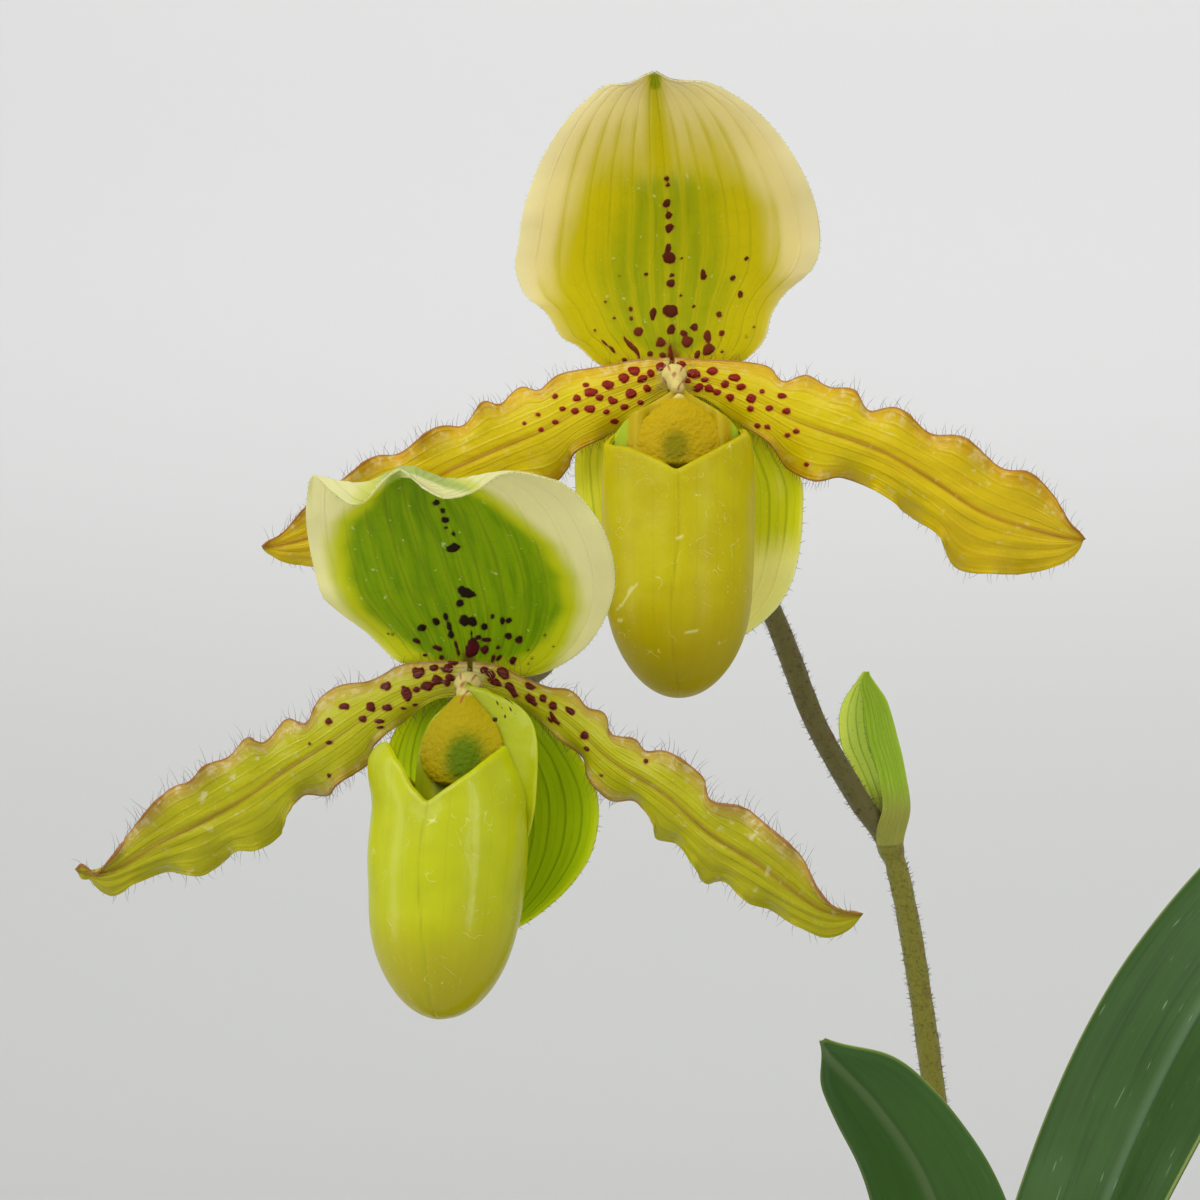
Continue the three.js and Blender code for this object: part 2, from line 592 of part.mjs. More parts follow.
// ---- leaves ----
// Strap leaves, keeled below and channelled above. side is +1 or -1 along the fan, spine runs
// from the crown to the tip, width is the half-width, across the direction of the width in
// degrees, from base to tip, and fold the rise of each half in degrees.
const fanPoint = (k, z) => [k * Math.cos(FAN_TURN), k * Math.sin(FAN_TURN), z];
const LEAF_FOOT = CROWN.top + SEAT_GAP;
const LEAVES = [
  {
    name: "leaf_front",
    side: -1,
    spine: [
      fanPoint(-4.4, LEAF_FOOT), [-5.2, -5, 110], [-7.0, -11, 135], [-11.6, -20, 163], [-17.6, -25.6, 176],
      [-24.4, -30, 184.4],
    ],
    width: [3.4, 6, 8, 9.4, 9.6, 6.4, 1.4],
    across: [FAN_SIDE_TURN, 128, 150, 165, 168],
    fold: [40, 34, 28, 22, 16],
  },
  {
    name: "leaf_left_long",
    side: -1,
    spine: [
      fanPoint(-6, LEAF_FOOT), [-9.4, -5, 108], [-22, -13, 130], [-50, -27, 145], [-85, -42, 140],
      [-116, -54, 120], [-134, -61, 101],
    ],
    width: [3.6, 7, 11, 12.6, 12.4, 9.5, 1.6],
    across: [FAN_SIDE_TURN, 115, 113, 113, 113],
    fold: [40, 30, 20, 16, 14],
  },
  {
    name: "leaf_left_old",
    side: -1,
    spine: [
      fanPoint(-7.6, LEAF_FOOT), [-14.5, -7.5, 101.5], [-32, -18, 112], [-58, -32, 110], [-78, -44, 97],
    ],
    width: [3.8, 7, 10.6, 11, 8.5, 1.6],
    across: [FAN_SIDE_TURN, 118, 120, 120, 120],
    fold: [40, 28, 20, 16, 14],
  },
  {
    name: "leaf_back_right",
    side: 1,
    spine: [
      fanPoint(4.4, LEAF_FOOT), [5.8, 6, 112], [9.2, 16, 136], [17, 29, 156], [33, 38, 184], [57, 44, 208],
      [83, 48, 219],
    ],
    width: [3.4, 6.5, 9.5, 11.6, 12.2, 9.6, 1.6],
    across: [FAN_SIDE_TURN, 122, 134, 142, 140],
    fold: [40, 32, 24, 18, 14],
  },
  {
    name: "leaf_right_low",
    side: 1,
    spine: [
      fanPoint(6, LEAF_FOOT), [10.4, 5, 107], [26, 12, 128], [55, 25, 140], [88, 40, 133], [116, 54, 112],
    ],
    width: [3.6, 7, 11, 12.4, 11.8, 8.8, 1.6],
    across: [FAN_SIDE_TURN, 115, 116, 116, 116],
    fold: [40, 30, 20, 16, 14],
  },
  {
    name: "leaf_right_old",
    side: 1,
    spine: [fanPoint(7.6, LEAF_FOOT), [15, 6, 101], [32, 11, 110], [56, 17, 107], [74, 21, 96]],
    width: [3.8, 7, 10, 10.4, 8, 1.6],
    across: [FAN_SIDE_TURN, 110, 107, 106, 106],
    fold: [40, 28, 20, 16, 14],
  },
];

function leaf({ side, spine, width, across, fold }) {
  const [nu, nv] = [6, 12];
  const curve = new THREE.CatmullRomCurve3(spine.map((p) => vec(...p)));
  const rows = [];
  for (let i = 0; i <= nv; i++) {
    const v = i / nv;
    const a = degToRad(along(across, v));
    const tangent = i === 0 ? vec(0, 0, 1) : curve.getTangentAt(v);
    const over = vec(Math.cos(a), Math.sin(a), 0).addScaledVector(
      tangent,
      -(tangent.x * Math.cos(a) + tangent.y * Math.sin(a)),
    );
    over.normalize();
    const upper = tangent.clone().cross(over).multiplyScalar(side);
    const w = along(width, v);
    const rise = Math.tan(degToRad(along(fold, v)));
    const row = [];
    for (let j = 0; j <= nu; j++) {
      const u = (2 * j) / nu - 1;
      const ripple = 0.35 * Math.sin(9 * v + (u < 0 ? 2 : 0)) * u * u * Math.sin(Math.PI * v);
      const lift = w * rise * (Math.abs(u) - 0.2 * u * u) + ripple;
      row.push(curve.getPointAt(v).addScaledVector(over, w * u).addScaledVector(upper, lift));
    }
    rows.push(row);
  }
  return sheet(rows, LEAF_THICK);
}

// ---- pot, bark and crown ----
const lathe = (profile, segments) =>
  new THREE.LatheGeometry(
    profile.map(([r, z]) => new THREE.Vector2(r, z)),
    segments,
  ).rotateX(Math.PI / 2);

function pot() {
  const bandZ = POT_HEIGHT - RIM_BAND;
  const bodyTop = POT_RIM_R - 4;
  const body = lathe(
    [
      [0, 0], [POT_BASE_R - 1, 0], [POT_BASE_R, 1], [bodyTop, bandZ - 1.5], [POT_RIM_R - 0.6, bandZ],
      [POT_RIM_R, bandZ + 1.2], [POT_RIM_R + 0.6, POT_HEIGHT - 1.6], [POT_RIM_R - 0.8, POT_HEIGHT],
      [POT_RIM_R - POT_WALL + 1, POT_HEIGHT], [POT_RIM_R - POT_WALL, POT_HEIGHT - 1.4],
      [bodyTop - POT_WALL + 0.6, bandZ], [POT_BASE_R - POT_WALL + 0.6, POT_WALL + 2],
      [POT_BASE_R - POT_WALL - 1.6, POT_WALL], [0, POT_WALL],
    ],
    48,
  );
  let solid = solidOf(body);
  for (let i = 0; i < 4; i++) {
    const a = Math.PI * (0.25 + i / 2);
    const drill = new THREE.CylinderGeometry(DRAIN_R, DRAIN_R, 3 * POT_WALL, 16)
      .rotateX(Math.PI / 2)
      .translate(DRAIN_RING_R * Math.cos(a), DRAIN_RING_R * Math.sin(a), POT_WALL / 2);
    solid = solid.subtract(solidOf(drill));
  }
  return geometryFrom(solid);
}

// The room inside the pot, less the clearance, up to a height.
function potRoom(top) {
  const bandZ = POT_HEIGHT - RIM_BAND;
  const low = POT_BASE_R - POT_WALL + 0.6;
  const high = POT_RIM_R - 4 - POT_WALL + 0.6;
  const rim = POT_RIM_R - POT_WALL;
  const upper = lerp(high, rim, (top - bandZ) / (POT_HEIGHT - 1.4 - bandZ));
  const gap = 0.4;
  return lathe(
    [
      [0, POT_WALL + gap], [low - 2.6, POT_WALL + gap], [low - gap, POT_WALL + 2.4],
      [high - gap, bandZ], [upper - gap, top], [0, top],
    ],
    48,
  );
}

// Chips of fir bark, sunk into the medium's surface round the crown.
function bark() {
  const random = seeded(7);
  let solid = solidOf(potRoom(BARK_TOP));
  for (let i = 0; i < BARK_CHIPS; i++) {
    const r = 13 + 28 * Math.sqrt((i + 0.5) / BARK_CHIPS);
    const a = i * 2.39996 + 0.4 * random();
    const chip = new THREE.BoxGeometry(10 + 7 * random(), 6 + 4 * random(), 3 + 2.4 * random())
      .rotateX(0.6 * (random() - 0.5))
      .rotateY(0.6 * (random() - 0.5))
      .rotateZ(Math.PI * random())
      .translate(r * Math.cos(a), r * Math.sin(a), BARK_TOP + 0.2 + 0.9 * random());
    solid = solid.add(solidOf(chip));
  }
  const socket = new THREE.CylinderGeometry(1, 1, 30, 24)
    .rotateX(Math.PI / 2)
    .scale(CROWN.long + SEAT_GAP, CROWN.short + SEAT_GAP, 1)
    .rotateZ(FAN_TURN)
    .translate(0, 0, CROWN.bottom - SEAT_GAP + 15);
  return geometryFrom(solid.intersect(solidOf(potRoom(BARK_TOP + 6))).subtract(solidOf(socket)));
}

function crown() {
  const height = CROWN.top - CROWN.bottom;
  return new THREE.CylinderGeometry(1, 0.94, height, 24)
    .rotateX(Math.PI / 2)
    .scale(CROWN.long, CROWN.short, 1)
    .rotateZ(FAN_TURN)
    .translate(0, 0, CROWN.bottom + height / 2);
}

// ---- the plant ----
const plant = new THREE.Group();
plant.name = "paphiopedilum_orchid";
plant.add(
  piece("pot", pot(), "#b0603c", 0.85),
  piece("potting_bark", bark(), "#5a3c28", 0.9),
  piece("crown", crown(), "#6d6a35", 0.8),
  piece("scape", stem(SCAPE, [1.75, 1.7, 1.6, 1.5, 1.4, 1.35, 1.35, 1.3], { steps: 26 }), "#5d5a34", 0.8),
  piece("scape_bract", sheath(SCAPE_BRACT), "#7d9440", 0.5),
  piece("rachis_bract", sheath(RACHIS_BRACT), "#7d9440", 0.5),
);
for (const spec of BLOOMS) {
  const radii = spec.name === "upper" ? [1.25, 1.5, 1.9, 2.1, 1.9] : [1.1, 1.4, 1.6, 1.9, 2.1, 1.9];
  plant.add(
    piece(spec.name + "_ovary", stem(spec.ovary, radii, { sides: 12, ribs: 6 }), "#4d3d30", 0.9),
    bloom(spec),
  );
}
for (const spec of LEAVES) plant.add(piece(spec.name, leaf(spec), "#4f7434", 0.4));

export default plant;
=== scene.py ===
"""Looks of a potted slipper orchid: two blooms on one velvety scape above a fan of strap leaves.

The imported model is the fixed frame. Each part of the plant is a class that repeats the source's
named sizes in millimetres, builds a finer mesh on them and gives it its own tissue.
"""
import logging
import math
from dataclasses import dataclass, field
from enum import Enum
from typing import Sequence

import bpy
import numpy as np
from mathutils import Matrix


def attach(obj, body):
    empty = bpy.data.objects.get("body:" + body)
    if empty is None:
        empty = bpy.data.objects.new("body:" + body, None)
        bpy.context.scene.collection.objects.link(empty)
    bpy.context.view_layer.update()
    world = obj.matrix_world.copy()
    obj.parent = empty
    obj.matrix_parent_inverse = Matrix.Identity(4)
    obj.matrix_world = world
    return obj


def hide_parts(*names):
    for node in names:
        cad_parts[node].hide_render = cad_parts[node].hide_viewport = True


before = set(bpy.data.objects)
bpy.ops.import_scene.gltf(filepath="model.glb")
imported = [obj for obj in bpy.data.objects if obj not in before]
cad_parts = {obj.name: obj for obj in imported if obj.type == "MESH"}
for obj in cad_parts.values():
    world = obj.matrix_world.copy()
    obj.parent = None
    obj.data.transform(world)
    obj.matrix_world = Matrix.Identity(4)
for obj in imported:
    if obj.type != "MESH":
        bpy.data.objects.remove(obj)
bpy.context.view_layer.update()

log = logging.getLogger("orchid")

MM = 0.001  # metres in a millimetre
EYE = np.array([-50.0, -475.0, 235.0])  # where the camera stands, in millimetres
FAN_TURN = math.radians(25)  # from the X axis to the fan of leaves
Grid = np.ndarray
Outline = Sequence[Sequence[float]]
Span = tuple[float, float]


class Side(Enum):
    """The two sides of a bloom or of the fan, as seen from in front."""

    LEFT = -1
    RIGHT = 1


# ---- numbers along a curve ----
def along(stations: Sequence[float], t: Grid) -> Grid:
    """Runs a value smoothly through evenly spaced stations.

    Args:
        stations: the values at even steps from 0 to 1.
        t: where to read them, 0 to 1.

    Returns:
        The value at each t.
    """
    values = np.asarray(stations, float)
    last = len(values) - 1
    x = np.clip(t, 0, 1) * last
    i = np.minimum(np.floor(x).astype(int), last - 1)
    f = x - i
    before, here, after, beyond = (values[np.clip(i + k, 0, last)] for k in (-1, 0, 1, 2))
    slope_in = (after - before) / 2
    slope_out = (beyond - here) / 2
    cube, square = f**3, f**2
    return (
        (2 * cube - 3 * square + 1) * here
        + (cube - 2 * square + f) * slope_in
        + (3 * square - 2 * cube) * after
        + (cube - square) * slope_out
    )


def through(points: Outline, t: Grid) -> Grid:
    """Follows a centripetal Catmull-Rom curve, with its knots at even t.

    Args:
        points: the knots, in two or three dimensions.
        t: where to read the curve, 0 to 1.

    Returns:
        One row of coordinates for each t.
    """
    p = np.asarray(points, float)
    knots = np.vstack([2 * p[0] - p[1], p, 2 * p[-1] - p[-2]])
    x = np.clip(t, 0, 1) * (len(p) - 1)
    k = np.minimum(x.astype(int), len(p) - 2)
    w = (x - k)[:, None]
    a, b, c, d = (knots[k + j] for j in range(4))
    ab, bc, cd = (np.linalg.norm(q - r, axis=1, keepdims=True) ** 0.5 for q, r in ((a, b), (b, c), (c, d)))
    start = ((b - a) / ab - (c - a) / (ab + bc) + (c - b) / bc) * bc
    end = ((c - b) / bc - (d - b) / (bc + cd) + (d - c) / cd) * bc
    return b + start * w + (3 * (c - b) - 2 * start - end) * w**2 + (2 * (b - c) + start + end) * w**3


def flowing(points: Outline, t: Grid) -> Grid:
    """Follows the same curve at an even pace.

    Args:
        points: the knots.
        t: where to read the curve, 0 to 1, as a share of its length.

    Returns:
        One row of coordinates for each t.
    """
    dense = np.linspace(0, 1, 401)
    steps = np.linalg.norm(np.diff(through(points, dense), axis=0), axis=1)
    walked = np.concatenate([[0], np.cumsum(steps)])
    return through(points, np.interp(np.asarray(t) * walked[-1], walked, dense))


def ease(low: float, high: float, x: Grid) -> Grid:
    """Goes smoothly from 0 at low to 1 at high."""
    s = np.clip((x - low) / (high - low), 0, 1)
    return s * s * (3 - 2 * s)


def hump(x: Grid, centre: float, width: float) -> Grid:
    """A soft bump of height 1 at centre."""
    return np.exp(-(((x - centre) / width) ** 2))


def uneven(x: Grid, y: Grid, size: float, seed: int) -> Grid:
    """Gives smooth random unevenness, the same on each run.

    Args:
        x: one coordinate, in millimetres.
        y: the other.
        size: the spacing of the unevenness, in millimetres.
        seed: which pattern.

    Returns:
        Values between -1 and 1.
    """
    gx, gy = np.broadcast_arrays(np.asarray(x, float) / size, np.asarray(y, float) / size)
    ix, iy = np.floor(gx), np.floor(gy)
    fx, fy = ease(0, 1, gx - ix), ease(0, 1, gy - iy)

    def corner(i: Grid, j: Grid) -> Grid:
        """A random value for one corner of the net."""
        h = np.sin(i * 127.1 + j * 311.7 + seed * 74.7) * 43758.5453
        return 2 * (h - np.floor(h)) - 1

    low = corner(ix, iy) * (1 - fx) + corner(ix + 1, iy) * fx
    high = corner(ix, iy + 1) * (1 - fx) + corner(ix + 1, iy + 1) * fx
    return low * (1 - fy) + high * fy


def soften(values: Grid, spread: float) -> Grid:
    """Smooths rows of values along their first axis, and keeps the two ends.

    Args:
        values: the rows.
        spread: the reach of the smoothing, in rows.

    Returns:
        The smoothed rows.
    """
    reach = int(3 * spread) + 1
    kernel = np.exp(-((np.arange(-reach, reach + 1) / spread) ** 2) / 2)
    kernel /= kernel.sum()
    start = 2 * values[0] - values[reach:0:-1]
    end = 2 * values[-1] - values[-2 : -reach - 2 : -1]
    padded = np.vstack([start, values, end])
    return np.column_stack([np.convolve(column, kernel, "valid") for column in padded.T])


def unit(vectors: Grid) -> Grid:
    """Vectors of the same directions and length 1."""
    return vectors / np.maximum(np.linalg.norm(vectors, axis=-1, keepdims=True), 1e-9)


def angles(sides: int) -> Grid:
    """Even angles round a circle, in radians."""
    return 2 * np.pi * np.arange(sides) / sides


def sheet(rows: int, columns: int) -> tuple[Grid, Grid]:
    """The shares across (-1 to 1) and along (0 to 1) at the points of a sheet."""
    return np.meshgrid(np.linspace(-1, 1, columns + 1), np.linspace(0, 1, rows + 1))


def turned(points: Grid, angle: float) -> Grid:
    """Points turned about the Z axis by an angle in radians."""
    c, s = math.cos(angle), math.sin(angle)
    x, y, z = points[..., 0], points[..., 1], points[..., 2]
    return np.stack([c * x - s * y, s * x + c * y, z], axis=-1)


# ---- meshes ----
@dataclass
class Skin:
    """A closed mesh in the making, in millimetres.

    The tissue map holds one pair of numbers for each face corner, quads first: the number of the
    vein, and the millimetres along it.
    """

    points: Grid
    quads: Grid = field(default_factory=lambda: np.zeros((0, 4), int))
    tris: Grid = field(default_factory=lambda: np.zeros((0, 3), int))
    fields: dict[str, Grid] = field(default_factory=dict)
    tissue: Grid | None = None

    def outward(self) -> "Skin":
        """Turns all faces outward, by the sign of the volume."""
        p = self.points
        halves = [self.tris, self.quads[:, [0, 1, 2]], self.quads[:, [0, 2, 3]]]
        volume = sum((p[t[:, 0]] * np.cross(p[t[:, 1]], p[t[:, 2]])).sum() for t in halves if len(t))
        if volume < 0:
            self.quads, self.tris = self.quads[:, ::-1], self.tris[:, ::-1]
            if self.tissue is not None:
                corners = 4 * len(self.quads)
                sides = self.tissue[:corners].reshape(-1, 4, 2)[:, ::-1].reshape(-1, 2)
                rest = self.tissue[corners:].reshape(-1, 3, 2)[:, ::-1].reshape(-1, 2)
                self.tissue = np.vstack([sides, rest])
        return self

    def mesh(self, name: str) -> bpy.types.Mesh:
        """Makes the Blender mesh.

        Args:
            name: its name.

        Returns:
            The mesh, in metres and smooth shaded.
        """
        made = bpy.data.meshes.new(name)
        made.vertices.add(len(self.points))
        made.vertices.foreach_set("co", np.ascontiguousarray(self.points * MM, np.float32).ravel())
        corners = np.concatenate([self.quads.ravel(), self.tris.ravel()]).astype(np.int32)
        made.loops.add(len(corners))
        made.loops.foreach_set("vertex_index", corners)
        four, three = np.arange(len(self.quads)), np.arange(len(self.tris))
        starts = np.concatenate([4 * four, 4 * len(four) + 3 * three])
        made.polygons.add(len(starts))
        made.polygons.foreach_set("loop_start", starts.astype(np.int32))
        for title, values in self.fields.items():
            layer = made.attributes.new(title, "FLOAT", "POINT").data
            layer.foreach_set("value", np.ascontiguousarray(values, np.float32).ravel())
        if self.tissue is not None:
            layer = made.uv_layers.new(name="tissue").data
            layer.foreach_set("uv", np.ascontiguousarray(self.tissue, np.float32).ravel())
        made.update(calc_edges=True)
        made.shade_smooth()
        return made


def joined(skins: Sequence[Skin]) -> Skin:
    """Puts several skins into one.

    Args:
        skins: closed skins that share their fields.

    Returns:
        One skin of separate closed shells.
    """
    shifts = np.cumsum([0] + [len(s.points) for s in skins[:-1]])
    fields = {key: np.concatenate([s.fields[key] for s in skins]) for key in skins[0].fields}
    tissue = None
    if all(s.tissue is not None for s in skins):
        sides = [s.tissue[: 4 * len(s.quads)] for s in skins]
        tissue = np.vstack(sides + [s.tissue[4 * len(s.quads) :] for s in skins])
    return Skin(
        np.vstack([s.points for s in skins]),
        np.vstack([s.quads + k for s, k in zip(skins, shifts)]),
        np.vstack([s.tris + k for s, k in zip(skins, shifts)]),
        fields,
        tissue,
    )


def rings_skin(rings: Grid, ends: Sequence[Sequence[float]]) -> Skin:
    """Joins closed rings of points into a skin.

    Args:
        rings: rows of points, each row a ring.
        ends: the two points in which the first and the last ring close.

    Returns:
        The skin, facing either way.
    """
    count, sides = rings.shape[:2]
    i, j = (g.ravel() for g in np.meshgrid(np.arange(count - 1), np.arange(sides), indexing="ij"))
    k = (j + 1) % sides
    quads = np.stack([i * sides + j, i * sides + k, (i + 1) * sides + k, (i + 1) * sides + j], axis=1)
    j = np.arange(sides)
    k, first, last = (j + 1) % sides, np.full(sides, count * sides), (count - 1) * sides
    tris = [np.stack([first, k, j], axis=1), np.stack([first + 1, last + j, last + k], axis=1)]
    return Skin(np.vstack([rings.reshape(-1, 3), ends]), quads, np.vstack(tris))


def lathed(radii: Grid, heights: Grid, sides: int) -> Skin:
    """Turns a profile round the Z axis, on which both its ends close.

    Args:
        radii: the profile's radii.
        heights: its heights.
        sides: how many sides.

    Returns:
        The turned skin.
    """
    a = angles(sides)
    rings = [np.outer(radii, np.cos(a)), np.outer(radii, np.sin(a)), np.outer(heights, np.ones(sides))]
    return rings_skin(np.stack(rings, axis=-1), [[0, 0, heights[0]], [0, 0, heights[-1]]]).outward()


def linked(name: str, data: bpy.types.ID) -> bpy.types.Object:
    """Puts an object with that data into the scene."""
    body = bpy.data.objects.new(name, data)
    bpy.context.collection.objects.link(body)
    return body


def place(
    name: str, skin: Skin, finish: "Finish", nodes: Sequence[str] = ()
) -> bpy.types.Object:
    """Puts a finished piece on the plant.

    Args:
        name: the piece's name.
        skin: its shape.
        finish: its finish.
        nodes: the frame's nodes that the piece stands for.

    Returns:
        The piece.
    """
    piece = linked(name, skin.mesh(name))
    piece.data.materials.append(finish.material())
    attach(piece, "root")
    if nodes:
        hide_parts(*nodes)
    log.info("%s: %d points, %d faces", name, len(skin.points), len(skin.quads) + len(skin.tris))
    return piece


def normals_of(mid: Grid, wrap: bool = False) -> Grid:
    """Gives the normals of a grid of points.

    Args:
        mid: rows of points.
        wrap: whether the last column meets the first.

    Returns:
        One unit normal for each point.
    """
    if wrap:
        across = np.roll(mid, -1, axis=1) - np.roll(mid, 1, axis=1)
    else:
        across = np.gradient(mid, axis=1)
    return unit(np.cross(across, np.gradient(mid, axis=0)))


def blade_skin(
    mid: Grid,
    thickness: Grid,
    facing: Sequence[float],
    veins: Grid,
    length: Grid,
    fields: dict[str, Grid],
    relief: tuple[Grid, Grid] = (0.0, 0.0),
    wrap: bool = False,
    pole: Grid | None = None,
) -> Skin:
    """Closes a grid of mid-surface points into a thin sheet with two faces.

    Args:
        mid: rows of points, from the base on.
        thickness: the thickness at each point.
        facing: the direction that the front face looks in, or from the middle outward if wrapped.
        veins: the number of the vein at each point, with one more column if wrapped.
        length: the millimetres along at each point, with one more column if wrapped.
        fields: more values at each point, for the finish.
        relief: how far the front and the back face stand out from the sheet.
        wrap: whether the last column meets the first.
        pole: the point in which a wrapped sheet closes.

    Returns:
        The closed skin, with a field face that is 1 on the front and 0 on the back.
    """
    nv, nu = mid.shape[:2]
    normal = normals_of(mid, wrap)
    if wrap:
        outward = mid - mid.mean(axis=1, keepdims=True)
        sign = 1.0 if (normal * outward).sum() > 0 else -1.0
    else:
        sign = 1.0 if (normal @ np.asarray(facing, float)).sum() > 0 else -1.0
    normal = normal * sign
    half = np.broadcast_to(np.asarray(thickness, float), (nv, nu)) / 2
    front = mid + normal * (half + relief[0])[..., None]
    back = mid - normal * (half + relief[1])[..., None]
    count = nv * nu
    points = np.vstack([front.reshape(-1, 3), back.reshape(-1, 3)])
    columns = nu if wrap else nu - 1
    i, j = np.meshgrid(np.arange(nv - 1), np.arange(columns), indexing="ij")
    i, j = i.ravel(), j.ravel()
    rows = np.stack([i, i, i + 1, i + 1], axis=1)
    cols = np.stack([j, j + 1, j + 1, j], axis=1)

    def chart(r: Grid, c: Grid) -> Grid:
        """The tissue map at rows r and columns c."""
        return np.stack([veins[r, c], length[r, c]], axis=-1).reshape(-1, 2)

    face = rows * nu + cols % nu
    quads = [face, face[:, ::-1] + count]
    charts = [chart(rows, cols), chart(rows[:, ::-1], cols[:, ::-1])]
    tris, ends = [], []

    def wall(r0: Grid, c0: Grid, r1: Grid, c1: Grid) -> None:
        """A strip from the front face's edge to the back face's."""
        a, b = r0 * nu + c0 % nu, r1 * nu + c1 % nu
        quads.append(np.stack([b, a, a + count, b + count], axis=1))
        charts.append(chart(np.stack([r1, r0, r0, r1], axis=1), np.stack([c1, c0, c0, c1], axis=1)))

    k = np.arange(columns)
    zero, last = np.zeros_like(k), np.full_like(k, nv - 1)
    wall(zero, k, zero, k + 1)
    if pole is None:
        wall(last, k + 1, last, k)
    else:
        tip = unit(normal[-1].mean(axis=0))
        points = np.vstack([points, pole + tip * half[-1].mean(), pole - tip * half[-1].mean()])
        a, b = last * nu + k, last * nu + (k + 1) % nu
        tris = [
            np.stack([a, b, np.full_like(k, 2 * count)], axis=1),
            np.stack([b + count, a + count, np.full_like(k, 2 * count + 1)], axis=1),
        ]
        end = length[-1].mean() + 1.0
        for first, second in ((k, k + 1), (k + 1, k)):
            tip_map = np.stack([(veins[-1, k] + veins[-1, k + 1]) / 2, np.full(len(k), end)], axis=1)
            corner = [chart(last, first), chart(last, second), tip_map]
            ends.append(np.stack(corner, axis=1).reshape(-1, 2))
    if not wrap:
        m = np.arange(nv - 1)
        zero, last = np.zeros_like(m), np.full_like(m, nu - 1)
        wall(m + 1, zero, m, zero)
        wall(m, last, m + 1, last)
    known = {key: np.broadcast_to(value, (nv, nu)).reshape(-1) for key, value in fields.items()}
    both = {key: np.concatenate([value, value]) for key, value in known.items()}
    both["face"] = np.concatenate([np.ones(count), np.zeros(count)])
    if pole is not None:
        lowest = slice(count - nu, count)
        both = {key: np.append(value, [value[lowest].mean()] * 2) for key, value in both.items()}
        both["face"][-2:] = (1, 0)
    return Skin(
        points,
        np.vstack(quads),
        np.vstack(tris) if tris else np.zeros((0, 3), int),
        both,
        np.vstack(charts + ends),
    ).outward()


def tube_skin(centres: Grid, radii: Grid, sides: int, relief: Grid) -> Skin:
    """Closes a tube round a path.

    Args:
        centres: points of the path.
        radii: the radius at each point.
        sides: how many sides.
        relief: what the surface stands out by, with a row for each point and a column for each side.

    Returns:
        The closed tube.
    """
    count = len(centres)
    tangent = unit(np.gradient(centres, axis=0))
    normal = np.zeros_like(centres)
    side = np.cross(tangent[0], [0.0, 1.0, 0.0])
    for i in range(count):
        side = side - tangent[i] * (side @ tangent[i])
        side = side / np.linalg.norm(side)
        normal[i] = side
    binormal = np.cross(tangent, normal)
    a = angles(sides)
    r = np.asarray(radii, float)[:, None] + relief
    ring = normal[:, None] * np.cos(a)[None, :, None] + binormal[:, None] * np.sin(a)[None, :, None]
    return rings_skin(centres[:, None] + ring * r[..., None], centres[[0, -1]]).outward()


def thread_skin(
    roots: Grid, ways: Grid, lengths: Grid, width: float, seed: int, droop: float = 0.3
) -> Skin:
    """Grows many fine tapered hairs.

    Args:
        roots: where they stand.
        ways: the direction of each.
        lengths: the length of each.
        width: the diameter at the root.
        seed: for their bends.
        droop: how far each bends, as a share of its length.

    Returns:
        The hairs, three-sided and closed, with a field along from root to tip.
    """
    rng = np.random.default_rng(seed)
    n = len(roots)
    way = unit(ways)
    bend = unit(rng.normal(size=(n, 3)) + [0.0, 0.0, -0.35])
    bend = unit(bend - way * (bend * way).sum(axis=1, keepdims=True))
    third = np.cross(way, bend)
    size = np.asarray(lengths, float)[:, None]
    rings = []
    for level, share in ((-0.06, 1.0), (0.35, 0.8), (0.7, 0.5)):
        centre = roots + way * size * level + bend * size * droop * max(level, 0) ** 2
        for k in range(3):
            a = 2 * math.pi * k / 3
            rings.append(centre + (bend * math.cos(a) + third * math.sin(a)) * width * share / 2)
    tip = roots + way * size + bend * size * droop
    points = np.stack([*rings, tip], axis=1).reshape(-1, 3)
    base = (10 * np.arange(n))[:, None]
    quads, tris = [], [[0, 2, 1]]
    for ring in (0, 3):
        for k in range(3):
            m = (k + 1) % 3
            quads.append([ring + k, ring + m, ring + 3 + m, ring + 3 + k])
    for k in range(3):
        tris.append([6 + k, 6 + (k + 1) % 3, 9])
    quads = (base[:, None] + np.array(quads)[None]).reshape(-1, 4)
    tris = (base[:, None] + np.array(tris)[None]).reshape(-1, 3)
    t = np.tile(np.repeat([0.0, 0.35, 0.7, 1.0], [3, 3, 3, 1]), n)
    return Skin(points, quads, tris, {"along": t}).outward()


# ---- finishes ----
Socket = bpy.types.NodeSocket
Recipe = tuple[str, list[tuple], list[tuple]]


def linear(code: str) -> tuple[float, float, float, float]:
    """Turns an sRGB hex colour into linear red, green, blue and a full alpha."""
    channels = (int(code[i : i + 2], 16) / 255 for i in (1, 3, 5))
    return (*(c / 12.92 if c <= 0.04045 else ((c + 0.055) / 1.055) ** 2.4 for c in channels), 1.0)


